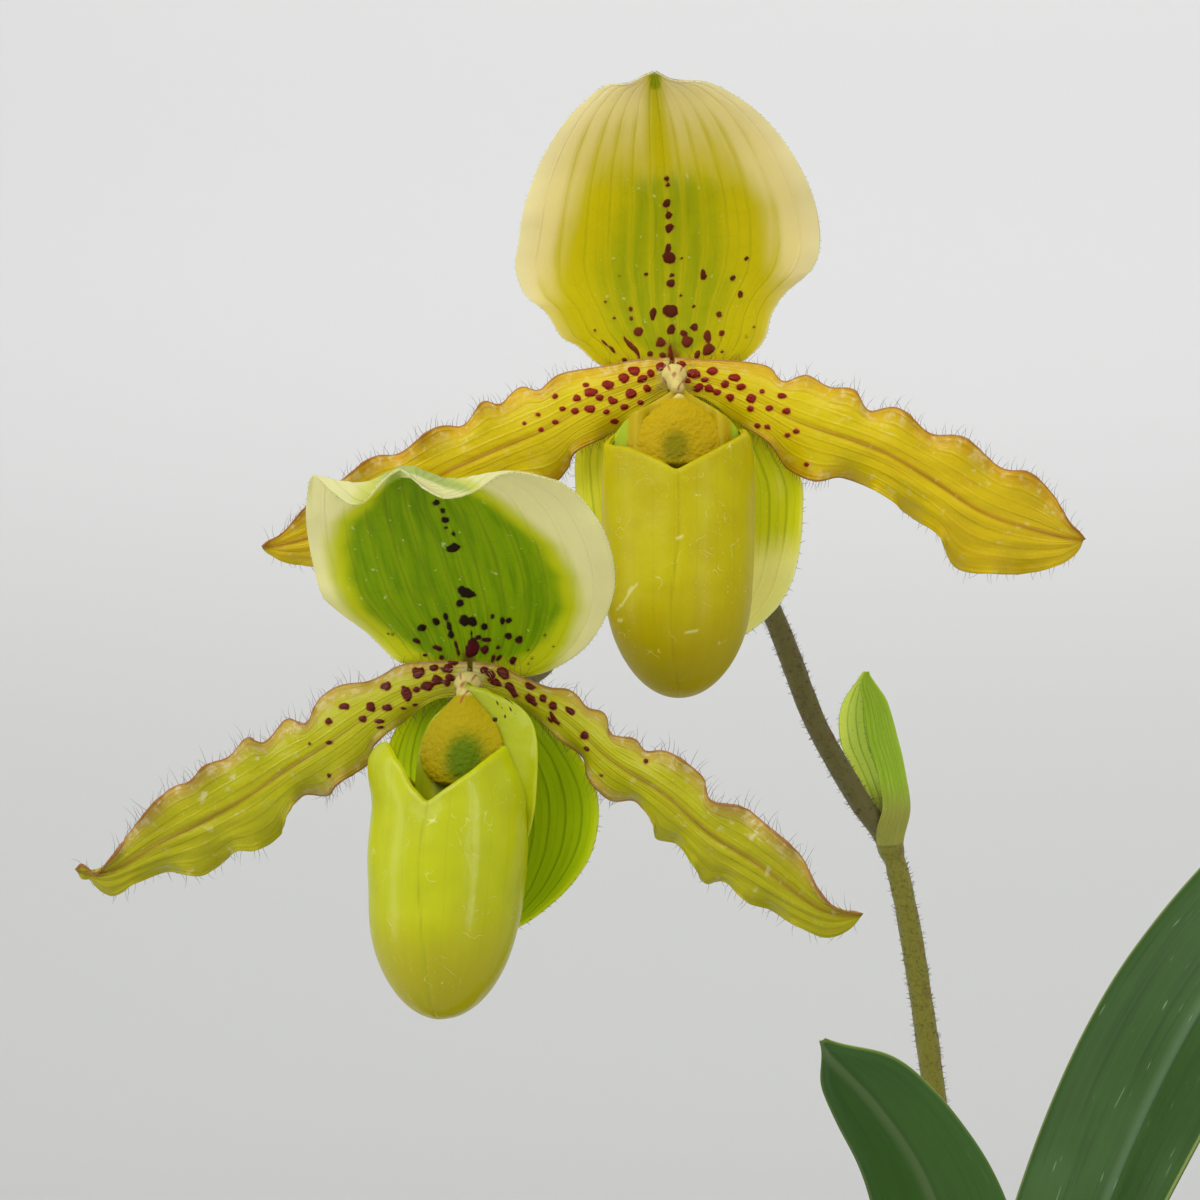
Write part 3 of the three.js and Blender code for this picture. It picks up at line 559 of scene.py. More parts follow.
class Paint:
    """A material's nodes, and the few steps that every finish is painted with."""

    def __init__(self, name: str) -> None:
        """Starts an empty material of that name."""
        self.material = bpy.data.materials.new(name)
        self.material.use_nodes = True
        self.tree = self.material.node_tree
        self.tree.nodes.clear()

    def add(
        self, kind: str, settings: dict | None = None, links: dict | None = None, out: int = 0
    ) -> Socket:
        """Adds one shader node.

        Args:
            kind: the node's type, without its ShaderNode.
            settings: attributes by their lower-case names, and inputs by name or number.
            links: what runs into each input.
            out: which output to give back.

        Returns:
            That output, or None if the node has none.
        """
        node = self.tree.nodes.new("ShaderNode" + kind)
        for key, value in (settings or {}).items():
            if isinstance(key, str) and key[0].islower():
                setattr(node, key, value)
            else:
                node.inputs[key].default_value = value
        for key, source in (links or {}).items():
            self.tree.links.new(source, node.inputs[key])
        return node.outputs[out] if node.outputs else None

    def mask(
        self, source: str | Socket, low: float, high: float, ragged: Socket | None = None, by: float = 0
    ) -> Socket:
        """Turns a value into a soft mask.

        Args:
            source: a field of the mesh, by name, or any value.
            low: where the mask is 0.
            high: where it is 1.
            ragged: noise that makes the mask's edge uneven.
            by: how far that noise moves the edge.

        Returns:
            The mask, 0 to 1.
        """
        if isinstance(source, str):
            source = self.add("Attribute", {"attribute_name": source}, out=2)
        if ragged is not None:
            source = self.add("Math", {"operation": "MULTIPLY_ADD", 1: by}, {0: ragged, 2: source})
        limits = {1: low + by / 2, 2: high + by / 2}
        return self.add("MapRange", {"interpolation_type": "SMOOTHSTEP", **limits}, {0: source})

    def both(self, *masks: Socket) -> Socket:
        """The product of several masks."""
        product = masks[0]
        for other in masks[1:]:
            product = self.add("Math", {"operation": "MULTIPLY"}, {0: product, 1: other})
        return product

    def grain(self, size: float, detail: float = 3.0, stretch: tuple[float, float] | None = None) -> Socket:
        """Adds noise with features of a real size.

        Args:
            size: their size in millimetres.
            detail: how many finer layers it has.
            stretch: features per vein and their length in millimetres, for streaks along the tissue.

        Returns:
            The noise, about 0.25 to 0.75.
        """
        if stretch is None:
            place_of = self.add("TexCoord", out=3)
            scale = (1 / (MM * size),) * 3
        else:
            place_of = self.add("UVMap", {"uv_map": "tissue"})
            scale = (stretch[0], 1 / stretch[1], 1.0)
        apart = (size * 7.3, size * 3.1, 0)  # so that no two sizes line up
        spread = self.add("Mapping", {"Scale": scale, "Location": apart}, {0: place_of})
        return self.add("TexNoise", {"Scale": 1.0, "Detail": detail, "Roughness": 0.55}, {"Vector": spread})

    def curls(self, size: float, patch: float, low: float, high: float) -> Socket:
        """Draws fine curled lines of that size, in patches laid out by a second noise."""
        curl = self.grain(size, 0.5)
        patches = self.mask(self.grain(patch, 2.0), low, high)
        return self.both(self.mask(curl, 0.488, 0.5), self.mask(curl, 0.512, 0.5), patches)

    def veins(self, width: float, between: bool = False) -> Socket:
        """Draws lines on the tissue map's whole numbers.

        Args:
            width: the half-width of a line, as a share of the space between two.
            between: whether they run half way between the numbers instead.

        Returns:
            A mask that is 1 on the lines.
        """
        chart = self.add("UVMap", {"uv_map": "tissue"})
        spread = self.add("Mapping", {"Scale": (0.5, 0.12, 1), "Location": (5, 0, 0)}, {0: chart})
        sway = self.add("TexNoise", {"Scale": 1.0, "Detail": 2.0}, {"Vector": spread})
        number = self.add("SeparateXYZ", links={0: chart})
        shift = 0.5 * 0.22 + (0.5 if between else 0.0)
        swayed = self.add("Math", {"operation": "MULTIPLY_ADD", 1: 0.22}, {0: sway, 2: number})
        moved = self.add("Math", {"operation": "ADD", 1: 60.0 - shift}, {0: swayed})
        away = self.add("Math", {"operation": "PINGPONG", 1: 0.5}, {0: moved})
        return self.mask(away, width, 0.0)

    def coat(self, below: Socket | str, colour: Socket | str, where: Socket, most: float = 1.0) -> Socket:
        """Lays one colour over another.

        Args:
            below: the colour so far, a hex code or a socket.
            colour: the colour on top.
            where: its mask.
            most: how far it covers.

        Returns:
            The colour of both.
        """
        settings = {"data_type": "RGBA"}
        links = {}
        for key, value in ((6, below), (7, colour)):
            if isinstance(value, str):
                settings[key] = linear(value)
            else:
                links[key] = value
        if most < 1:
            where = self.add("Math", {"operation": "MULTIPLY", 1: most}, {0: where})
        links[0] = where
        return self.add("Mix", settings, links, out=2)

    def relief(self, height: Socket, rise: float, below: Socket | None = None) -> Socket:
        """Bends the normals as a relief does.

        Args:
            height: where it is high.
            rise: its height in millimetres.
            below: the relief that it lies on.

        Returns:
            The normals.
        """
        links = {"Height": height} | ({"Normal": below} if below is not None else {})
        return self.add("Bump", {"Strength": 1.0, "Distance": rise * MM}, links)


@dataclass(frozen=True)
class Finish:
    """A finish, with the shader's values that are the same all over it."""

    name: str = "tissue"
    roughness: float = 0.5
    ior: float = 1.4
    shine: float = 0.5  # how strongly the tissue itself mirrors, where 0.5 is full
    gloss: float = 0.0  # a clear cuticle over the tissue
    gloss_roughness: float = 0.2
    fuzz: float = 0.0  # down, too fine for hairs of its own
    glow: float = 0.0  # light that passes through thin tissue
    glow_reach: float = 0.6  # how far, in millimetres
    glow_tint: tuple[float, float, float] = (1.0, 0.8, 0.25)

    def paint(self, p: Paint) -> Recipe:
        """Gives the pattern.

        Args:
            p: the material's nodes.

        Returns:
            Its ground colour, its coats (each a colour, its mask and how far it covers), and its
            reliefs (each a height and its millimetres).
        """
        raise NotImplementedError

    def material(self) -> bpy.types.Material:
        """Gives the material, and makes it the first time."""
        known = bpy.data.materials.get(self.name)
        if known:
            return known
        p = Paint(self.name)
        colour, coats, reliefs = self.paint(p)
        for coat in coats:
            colour = p.coat(colour, *coat)
        links, normal = {"Base Color": colour}, None
        for height, rise in reliefs:
            normal = p.relief(height, rise, normal)
        if reliefs:
            links["Normal"] = normal
            if self.gloss:
                links["Coat Normal"] = normal
        settings = {
            "Roughness": self.roughness,
            "IOR": self.ior,
            "Specular IOR Level": self.shine,
            "Coat Weight": self.gloss,
            "Coat Roughness": self.gloss_roughness,
            "Sheen Weight": self.fuzz,
            "Sheen Roughness": 0.5,
            "Subsurface Weight": self.glow,
            "Subsurface Radius": self.glow_tint,
            "Subsurface Scale": self.glow_reach * MM,
        }
        shader = p.add("BsdfPrincipled", settings, links)
        p.add("OutputMaterial", links={"Surface": shader})
        return p.material


@dataclass(frozen=True)
class DorsalTissue(Finish):
    """Sepal tissue, matt and thin: green veins run through it, and raised maroon spots sit on it."""

    roughness: float = 0.5
    shine: float = 0.1
    glow: float = 0.5
    glow_reach: float = 1.0
    heart: str = "#9a9c00"
    deep: str = "#849000"
    band: str = "#bcae00"
    cream: str = "#dacb84"
    blush: str = "#dcd0a8"
    back: str = "#c9bf8a"
    vein: str = "#6f8400"
    spot: str = "#521c06"
    brick: str = "#6e2c10"
    streaking: float = 0.8  # how strong the yellow streaks are
    halo: str = "#94701a"
    vein_width: float = 0.1

    def paint(self, p: Paint) -> Recipe:
        """Paints green over yellow over cream, then the net of veins, flecks, spots and the rim."""
        cloud = p.grain(5.0, 2.0)
        fine = p.grain(0.5, 3.0)
        lumps = p.grain(0.9, 2.0)
        streak = p.grain(1.0, 2.0, stretch=(2.2, 9.0))
        deep = p.both(p.mask("green", 0.4, 1.0), p.mask(streak, 0.4, 0.7))
        cells = {"feature": "DISTANCE_TO_EDGE", "Scale": 1 / (2.6 * MM)}
        net = p.add("TexVoronoi", cells, {0: p.add("TexCoord", out=3)})
        mesh = p.mask(net, 0.05, 0.0)
        main = p.veins(self.vein_width)
        fine_veins = p.veins(0.5 * self.vein_width, between=True)
        seen = p.mask("veined", 0.1, 0.9, cloud, 0.4)
        drops = p.both(p.mask(lumps, 0.68, 0.74), p.mask("face", 0.4, 0.6), p.mask("green", 0.1, 0.5))
        marked = p.mask("spot", -0.06, 0.06, fine, 0.2)
        coats = [
            (self.heart, p.mask("green", 0.1, 0.8, cloud, 0.6)),
            (self.deep, deep, 0.8),
            (self.cream, p.mask("cream", 0.05, 0.95, streak, 0.3)),
            (self.blush, p.both(p.mask("cream", 0.7, 1.0), p.mask("rim", 3.5, 0.5)), 0.5),
            (self.band, p.mask("streak", 0.0, 1.0, streak, 0.3), self.streaking),
            (self.vein, p.both(mesh, seen), 0.12),
            (self.vein, p.both(fine_veins, seen), 0.15),
            (self.vein, p.both(main, seen), 0.45),
            (self.band, p.both(p.veins(0.3), p.mask("halo", 0.1, 0.9)), 0.75 * self.streaking),
            (self.deep, p.mask("apex", 0.2, 0.9), 0.9),
            (self.cream, drops, 0.4),
            (self.halo, p.mask("spot", -0.2, 0.1, lumps, 0.4), 0.6),
            (self.spot, marked),
            (self.brick, p.both(marked, p.mask("ruddy", 0.2, 0.9, lumps, 0.4)), 0.8),
            (self.brick, p.mask("smudge", 0.15, 0.9, lumps, 0.8), 0.75),
            (self.blush, p.mask("rim", 0.35, 0.1), 0.6),
            (self.back, p.mask("face", 0.6, 0.4), 0.5),
        ]
        relief = [(main, 0.05), (cloud, 0.25), (fine, 0.03), (p.mask("spot", -0.1, 0.3), 0.1)]
        return self.band, coats, relief


@dataclass(frozen=True)
class SepalTissue(Finish):
    """The lower sepal's tissue, matt and thin: plain green with long dark veins, paler at its edge, with
    painted light on the side that the pouch and petals shade.
    """

    roughness: float = 0.5
    shine: float = 0.1
    glow: float = 0.9
    glow_reach: float = 1.6
    glow_tint: tuple[float, float, float] = (1.0, 1.0, 0.35)
    body: str = "#c8ca1a"
    pale: str = "#f2e894"
    vein: str = "#8c9a0c"
    # painted light: a brighter green for the side that lies in the shade of the pouch and petals
    painted_light: str = "#f0ec50"

    def paint(self, p: Paint) -> Recipe:
        """Paints green, painted light on the side in the pouch's shade, the pale edge and the veins."""
        cloud = p.grain(6.0, 2.0)
        fine = p.grain(0.45, 3.0)
        streak = p.grain(1.0, 3.0, stretch=(2.5, 10.0))
        seen = p.mask("pale", 0.8, 0.2)
        coats = [
            # painted light over the shaded left side
            (self.painted_light, p.mask("painted_light", 0.1, 0.9), 0.75),
            (self.vein, p.mask(streak, 0.5, 0.8), 0.35),
            (self.pale, p.mask("pale", 0.1, 0.9, cloud, 0.5)),
            (self.vein, p.both(p.veins(0.12), seen), 0.5),
            (self.vein, p.both(p.veins(0.06, between=True), seen), 0.25),
            (self.pale, p.mask(fine, 0.62, 0.74), 0.2),
            (self.pale, p.mask("rim", 0.5, 0.1), 0.4),
        ]
        return self.body, coats, [(p.veins(0.16), 0.06), (fine, 0.03)]


@dataclass(frozen=True)
class PetalTissue(Finish):
    """Petal tissue, waxed by its own cuticle: it shines along its ridges, and its spots bleed red."""

    roughness: float = 0.42
    shine: float = 0.12
    gloss: float = 0.28
    gloss_roughness: float = 0.2
    glow: float = 0.3
    glow_reach: float = 0.8
    body: str = "#cfbc02"
    tip: str = "#c9ae08"
    warm: str = "#c09202"
    rib: str = "#a06c08"
    wart_and_glint: str = "#d8cd84"
    edge: str = "#8c4a34"
    flush: str = "#c08a1c"
    spot: str = "#861804"
    halo: str = "#c08010"

    def paint(self, p: Paint) -> Recipe:
        """Paints the gold body, midrib streak, pale warts, painted glints in curled lines, reddish margin
        and spots.
        """
        cloud = p.grain(7.0, 2.0)
        fine = p.grain(0.4, 3.0)
        streak = p.grain(1.0, 3.0, stretch=(2.4, 12.0))
        lumps = p.grain(0.8, 2.0)
        margin = p.both(p.mask("rim", 2.4, 0.5, lumps, 1.6), p.mask("blush", 0.0, 1.0))
        along_rib = p.both(p.mask("rib", 0.5, 0.05, streak, 0.4), p.mask("reach", 0.15, 0.45))
        # painted glints: fine curled pale lines, like wet reflections
        lines = p.curls(1.2, 2.0, 0.55, 0.65)
        warty = p.both(p.mask(p.grain(1.3, 3.0), 0.6, 0.72), p.mask("wart_and_glint", 0.1, 0.9))
        rim = p.both(p.mask("rim", 0.32, 0.08, fine, 0.15), p.mask("blush", 0.1, 0.7, cloud, 0.5))
        coats = [
            (self.tip, p.mask("reach", 0.25, 0.85, cloud, 0.3)),
            (self.warm, p.both(p.mask(streak, 0.45, 0.75), p.mask(cloud, 0.35, 0.6)), 0.4),
            (self.tip, p.mask(cloud, 0.5, 0.3), 0.4),
            (self.warm, p.veins(0.06), 0.15),
            (self.flush, margin, 0.55),
            (self.wart_and_glint, p.both(p.mask(p.grain(1.0, 3.0), 0.5, 0.66), margin), 0.5),
            (self.rib, along_rib, 0.75),
            # painted glints along the curled lines
            (self.wart_and_glint, p.both(lines, p.mask("wart_and_glint", 0.1, 0.9)), 0.5),
            (self.wart_and_glint, warty, 0.7),
            (self.wart_and_glint, p.both(p.mask(fine, 0.66, 0.76), p.mask("face", 0.4, 0.6)), 0.2),
            (self.edge, rim, 0.7),
            (self.halo, p.mask("spot", -0.25, 0.1, lumps, 0.5), 0.6),
            (self.wart_and_glint, p.mask("pale", 0.2, 1.0, lumps, 0.5), 0.7),
            (self.spot, p.mask("spot", -0.06, 0.06, fine, 0.2)),
        ]
        spots = (p.mask("spot", -0.1, 0.3), 0.15)
        relief = [(streak, 0.06), (p.veins(0.2), 0.05), (p.grain(0.7, 2.0), 0.06), (fine, 0.03), spots]
        return self.body, coats, relief


@dataclass(frozen=True)
class PouchTissue(Finish):
    """The lip's tissue, thick and waxy, with the highest gloss on the plant and faint upright veins."""

    roughness: float = 0.42
    shine: float = 0.14
    gloss: float = 0.1
    gloss_roughness: float = 0.25
    glow: float = 0.25
    body: str = "#b9ae04"
    side: str = "#b2a402"
    # painted shade: the darker colour of the pouch's foot
    low: str = "#a69402"
    shoulder: str = "#b79e08"
    flank: str = "#9cb412"
    vein: str = "#978a04"
    mark_and_highlight: str = "#dcd488"
    # painted light: a brighter colour inside the pouch, which would otherwise lie in its own shade
    inner: str = "#c8bc1c"

    def paint(self, p: Paint) -> Recipe:
        """Paints the body, its darker foot (painted shade under the pouch), upright veins, the midline
        groove, pale scratches, a painted highlight along one edge and painted light inside.
        """
        cloud = p.grain(6.0, 2.0)
        fine = p.grain(0.35, 3.0)
        streak = p.grain(1.0, 3.0, stretch=(2.5, 12.0))
        lines = p.curls(1.5, 2.4, 0.56, 0.64)
        coats = [
            (self.side, p.mask(cloud, 0.35, 0.7)),
            # painted shade, darker towards the pouch's foot
            (self.low, p.mask("depth", 0.3, 1.0, streak, 0.3), 0.9),
            (self.vein, p.veins(0.06), 0.15),
            (self.vein, p.mask("groove", 0.28, 0.03), 0.45),
            (self.mark_and_highlight, p.both(p.mask(fine, 0.64, 0.72), p.mask(cloud, 0.45, 0.65)), 0.4),
            (self.mark_and_highlight, lines, 0.7),
            # pale scratches, with the painted highlight down the right edge
            (self.mark_and_highlight, p.mask("scratch", 0.2, 1.0), 0.6),
            # painted light inside the pouch
            (self.inner, p.mask("face", 0.6, 0.4)),
            (self.shoulder, p.mask("claw", 0.3, 0.7), 0.9),
            (self.flank, p.mask("claw", 1.2, 1.8), 0.9),
            ("#3a2408", p.mask("dot", 0.3, 0.7)),
        ]
        return self.body, coats, [(p.grain(2.2, 3.0), 0.1), (fine, 0.012)]


@dataclass(frozen=True)
class ShieldTissue(Finish):
    """The column's tissue, a skin of tiny grains that glitters softly, olive on its boss."""

    roughness: float = 0.42
    shine: float = 0.1
    glow: float = 0.03
    body: str = "#b69902"
    olive: str = "#857a00"
    pale: str = "#d6c880"
    blush: str = "#9c3a30"

    def paint(self, p: Paint) -> Recipe:
        """Paints the grainy body, the olive boss and the whitish column."""
        grains = p.add("TexVoronoi", {"Scale": 1 / (0.22 * MM)}, {0: p.add("TexCoord", out=3)})
        fine = p.grain(0.3, 3.0)
        coats = [
            (self.pale, p.mask(grains, 0.3, 0.0), 0.3),
            (self.olive, p.mask("boss", 0.1, 0.8, fine, 0.3)),
            (self.pale, p.mask("stalk", 0.2, 0.8, fine, 0.4), 0.8),
            (self.blush, p.mask("blush", 0.2, 0.8, fine, 0.4), 0.7),
        ]
        return self.body, coats, [(p.mask(grains, 0.6, 0.0), 0.04)]


@dataclass(frozen=True)
class VelvetStem(Finish):
    """A flower stem in a velvet of short dark hairs, which soften its shine to a dull bloom."""

    roughness: float = 0.75
    fuzz: float = 0.25
    body: str = "#605a28"
    dark: str = "#4c4420"
    low: str = "#7e7a20"
    flush: str = "#6a3c26"

    def paint(self, p: Paint) -> Recipe:
        """Paints olive below the node and dark purple-brown above it."""
        cloud = p.grain(3.0, 3.0)
        fine = p.grain(0.35, 3.0)
        coats = [
            (self.body, p.mask("upper", 0.1, 0.9, cloud, 0.3)),
            (self.dark, p.mask(fine, 0.45, 0.68), 0.4),
            (self.flush, p.both(p.mask(cloud, 0.5, 0.7), p.mask("flush", 0.2, 0.9)), 0.6),
        ]
        return self.low, coats, [(fine, 0.08)]


@dataclass(frozen=True)
class BractTissue(Finish):
    """A sheathing bract, thin green leaf tissue with fine parallel nerves and a downy edge."""

    roughness: float = 0.5
    shine: float = 0.12
    glow: float = 0.8
    glow_reach: float = 1.2
    glow_tint: tuple[float, float, float] = (1.0, 1.0, 0.4)
    body: str = "#93b42e"
    light: str = "#aebe44"
    nerve: str = "#5f7d1e"
    base: str = "#9a9848"
    # painted light: a bright green on the inner face, as if lit through the thin tissue
    inner: str = "#dcf078"

    def paint(self, p: Paint) -> Recipe:
        """Paints the green, its nerves, the pale base and painted light on the inner face, standing in for
        light through the tissue.
        """
        streak = p.grain(1.0, 3.0, stretch=(2.5, 6.0))
        fine = p.grain(0.35, 3.0)
        coats = [
            (self.light, p.mask(streak, 0.45, 0.7), 0.7),
            # painted light on the inner face
            (self.inner, p.mask("face", 0.6, 0.4), 0.85),
            (self.nerve, p.veins(0.14), 0.45),
            (self.base, p.mask("reach", 0.4, 0.12, streak, 0.1), 0.95),
            (self.nerve, p.mask(fine, 0.6, 0.7), 0.25),
        ]
        return self.body, coats, [(p.veins(0.2), 0.05), (fine, 0.03)]


@dataclass(frozen=True)
class StrapLeaf(Finish):
    """A strap leaf, leathery, under a waxy cuticle that gives broad soft reflections."""

    roughness: float = 0.42
    shine: float = 0.2
    gloss: float = 0.06
    gloss_roughness: float = 0.3
    glow: float = 0.04
    body: str = "#33521e"
    light: str = "#40622c"
    dark: str = "#284318"
    edge: str = "#8a9a50"
    pale: str = "#55704a"
    under: str = "#3a5a2c"
    tip_shade: float = 0.0

    def paint(self, p: Paint) -> Recipe:
        """Paints the green, its parallel streaks, a pale band beside the midrib that is partly painted
        sheen, painted shade at the tip, pale margins, scratches and the paler underside.
        """
        cloud = p.grain(18.0, 2.0)
        fine = p.grain(0.5, 3.0)
        streak = p.grain(1.0, 3.0, stretch=(1.6, 30.0))
        scratch = p.grain(1.3, 1.0, stretch=(3.0, 5.0))
        coats = [
            (self.light, p.mask(cloud, 0.38, 0.65), 0.7),
            (self.dark, p.mask(streak, 0.48, 0.7), 0.6),
            (self.light, p.veins(0.1), 0.3),
            (self.dark, p.mask("reach", 0.82, 1.0), self.tip_shade),
            # a paler midrib on one side, with painted sheen along that flank
            (self.pale, p.both(p.mask("rib", 2.2, 0.6), p.mask("band", 0.2, 0.9)), 0.8),
            (self.dark, p.mask("rib", 0.35, 0.1), 0.6),
            ("#8d9f7c", p.mask(scratch, 0.7, 0.76), 0.5),
            (self.edge, p.mask("rim", 0.4, 0.12, fine, 0.15), 0.75),
            (self.under, p.mask("face", 0.6, 0.4), 0.7),
        ]
        return self.body, coats, [(streak, 0.06), (fine, 0.02)]


@dataclass(frozen=True)
class Terracotta(Finish):
    """Fired earthenware, unglazed and thrown: dry and matt, with a bloom of lime where water dries."""

    roughness: float = 0.88
    body: str = "#a9593a"
    light: str = "#c17a55"
    dark: str = "#7c3d28"
    bloom: str = "#cdb9a4"

    def paint(self, p: Paint) -> Recipe:
        """Paints the clay, its grog and the white bloom."""
        cloud = p.grain(30.0, 4.0)
        patch = p.grain(9.0, 5.0)
        fine = p.grain(0.8, 4.0)
        coats = [
            (self.light, p.mask(cloud, 0.4, 0.65), 0.7),
            (self.dark, p.mask(patch, 0.55, 0.72), 0.5),
            (self.dark, p.mask(fine, 0.62, 0.7), 0.5),
            (self.bloom, p.both(p.mask(patch, 0.46, 0.66), p.mask("damp", 0.0, 1.0, cloud, 0.8)), 0.6),
        ]
        return self.body, coats, [(patch, 0.2), (fine, 0.12)]


@dataclass(frozen=True)
class FirBark(Finish):
    """Composted fir bark: broken chips, layered inside, dull and dry on their corky faces."""

    roughness: float = 0.85
    body: str = "#5a3a26"
    light: str = "#8a6244"
    dark: str = "#2c1b12"

    def paint(self, p: Paint) -> Recipe:
        """Paints each chip in its own brown, with layers, pale flecks and dark pits."""
        layers = p.grain(1.6, 4.0)
        fine = p.grain(0.5, 4.0)
        coats = [
            (self.light, p.mask("chip", 0.35, 1.0)),
            (self.dark, p.mask("chip", 0.3, 0.0), 0.6),
            (self.light, p.mask(layers, 0.55, 0.7), 0.5),
            (self.dark, p.mask(fine, 0.52, 0.66), 0.7),
        ]
        return self.body, coats, [(layers, 0.5), (fine, 0.25)]


@dataclass(frozen=True)
class CrownTissue(Finish):
    """Clasping leaf bases, firm and pale green, under the papery brown of old sheaths."""

    roughness: float = 0.6
    body: str = "#8a9150"
    paper: str = "#8d6d45"
    dark: str = "#4c3a22"

    def paint(self, p: Paint) -> Recipe:
        """Paints green bases and brown paper with long fibres."""
        fine = p.grain(0.6, 4.0)
        patch = p.grain(4.0, 3.0)
        coats = [
            (self.paper, p.mask("paper", 0.1, 0.8, patch, 0.6)),
            (self.dark, p.mask(fine, 0.55, 0.7), 0.6),
        ]
        return self.body, coats, [(fine, 0.15)]


@dataclass(frozen=True)
class HairFinish(Finish):
    """Stiff plant hairs, dark red-brown, with a dry dull surface."""

    roughness: float = 0.6
    root: str = "#4a2a22"
    tip: str = "#6b4a3c"

    def paint(self, p: Paint) -> Recipe:
        """Paints the hair from its root to its tip."""
        coats = [
            (self.tip, p.mask("along", 0.0, 1.0)),
        ]
        return self.root, coats, []


@dataclass(frozen=True)
class Plaster(Finish):
    """A studio cove: smooth matt plaster, darkened a little towards its foot by painted shade."""

    roughness: float = 0.95
    high: str = "#e6e6e6"
    # painted shade at the cove's foot
    low: str = "#cfd0ce"

    def paint(self, p: Paint) -> Recipe:
        """Paints the slow change from its darker foot up, as painted shade."""
        coats = [
            (self.high, p.mask("height", 0.0, 1.0)),
        ]
        return self.low, coats, []


# ---- sepals and petals ----
@dataclass(frozen=True)
class BladeShape:
    """A sepal or petal, drawn by its two margins from base to tip as seen from in front.

    The margins are x and z in millimetres from the bloom's centre. Each spot is its x and z, its
    half-width and, where it isn't round, its half-height and its lean to the right in degrees.
    """

    left: Outline
    right: Outline
    mid: Sequence[float]
    margin_left: Sequence[float]
    margin_right: Sequence[float]
    waves: float
    wave_size: Sequence[float]
    lift: Sequence[float] = (0.0, 0.0)
    spots: Sequence[Sequence[float]] = ()


@dataclass(frozen=True)
class Site:
    """Where a bloom sits, and how its plane is turned to its left."""

    name: str
    centre: tuple[float, float, float]
    turn: float

    def seen(self, points: Grid) -> tuple[Grid, Grid]:
        """Projects points onto the bloom's upright plane, as the eye sees them.

        Args:
            points: places on the plant.

        Returns:
            Their x and z from the bloom's centre.
        """
        cx, cy, cz = self.centre
        factor = (cy - EYE[1]) / (points[..., 1] - EYE[1])
        x = EYE[0] + (points[..., 0] - EYE[0]) * factor - cx
        z = EYE[2] + (points[..., 2] - EYE[2]) * factor - cz
        return x, z

    def named(self, part: str) -> str:
        """The name of one of the bloom's nodes."""
        return f"{self.name}_{part}"

    def faced(self, ways: Grid) -> Grid:
        """Turns directions from straight ahead to where the bloom faces."""
        return turned(ways, -math.atan(self.turn))

    def stand(self, points: Grid) -> Grid:
        """Moves points from the origin into the bloom."""
        return self.faced(points) + self.centre


def within_spots(x: Grid, z: Grid, spots: Sequence[Sequence[float]], reach: float = 3.0) -> Grid:
    """Measures how deep each place lies inside its nearest spot.

    Args:
        x: places, across.
        z: places, up.
        spots: the spots.
        reach: how far outside a spot is still measured.

    Returns:
        Millimetres inside the spot's edge, below 0 outside it.
    """
    deepest = np.full(x.shape, -reach)
    stray_x, stray_z = (0.2 * uneven(x, z, 0.85, s) + 0.11 * uneven(x, z, 0.4, s + 2) for s in (5, 6))
    for spot in spots:
        sx, sz, wide, tall, lean = (*spot, spot[2], 0)[:4] + (spot[4] if len(spot) > 4 else 0,)
        lean = math.radians(lean)
        stray = min(1.0, 2 * wide * tall / 0.5)
        dx, dz = x + stray * stray_x - sx, z + stray * stray_z - sz
        across = dx * math.cos(lean) - dz * math.sin(lean)
        up = dx * math.sin(lean) + dz * math.cos(lean)
        away = np.sqrt((across / wide) ** 2 + (up / tall) ** 2)
        deepest = np.maximum(deepest, (1 - away) * math.sqrt(wide * tall))
    return deepest


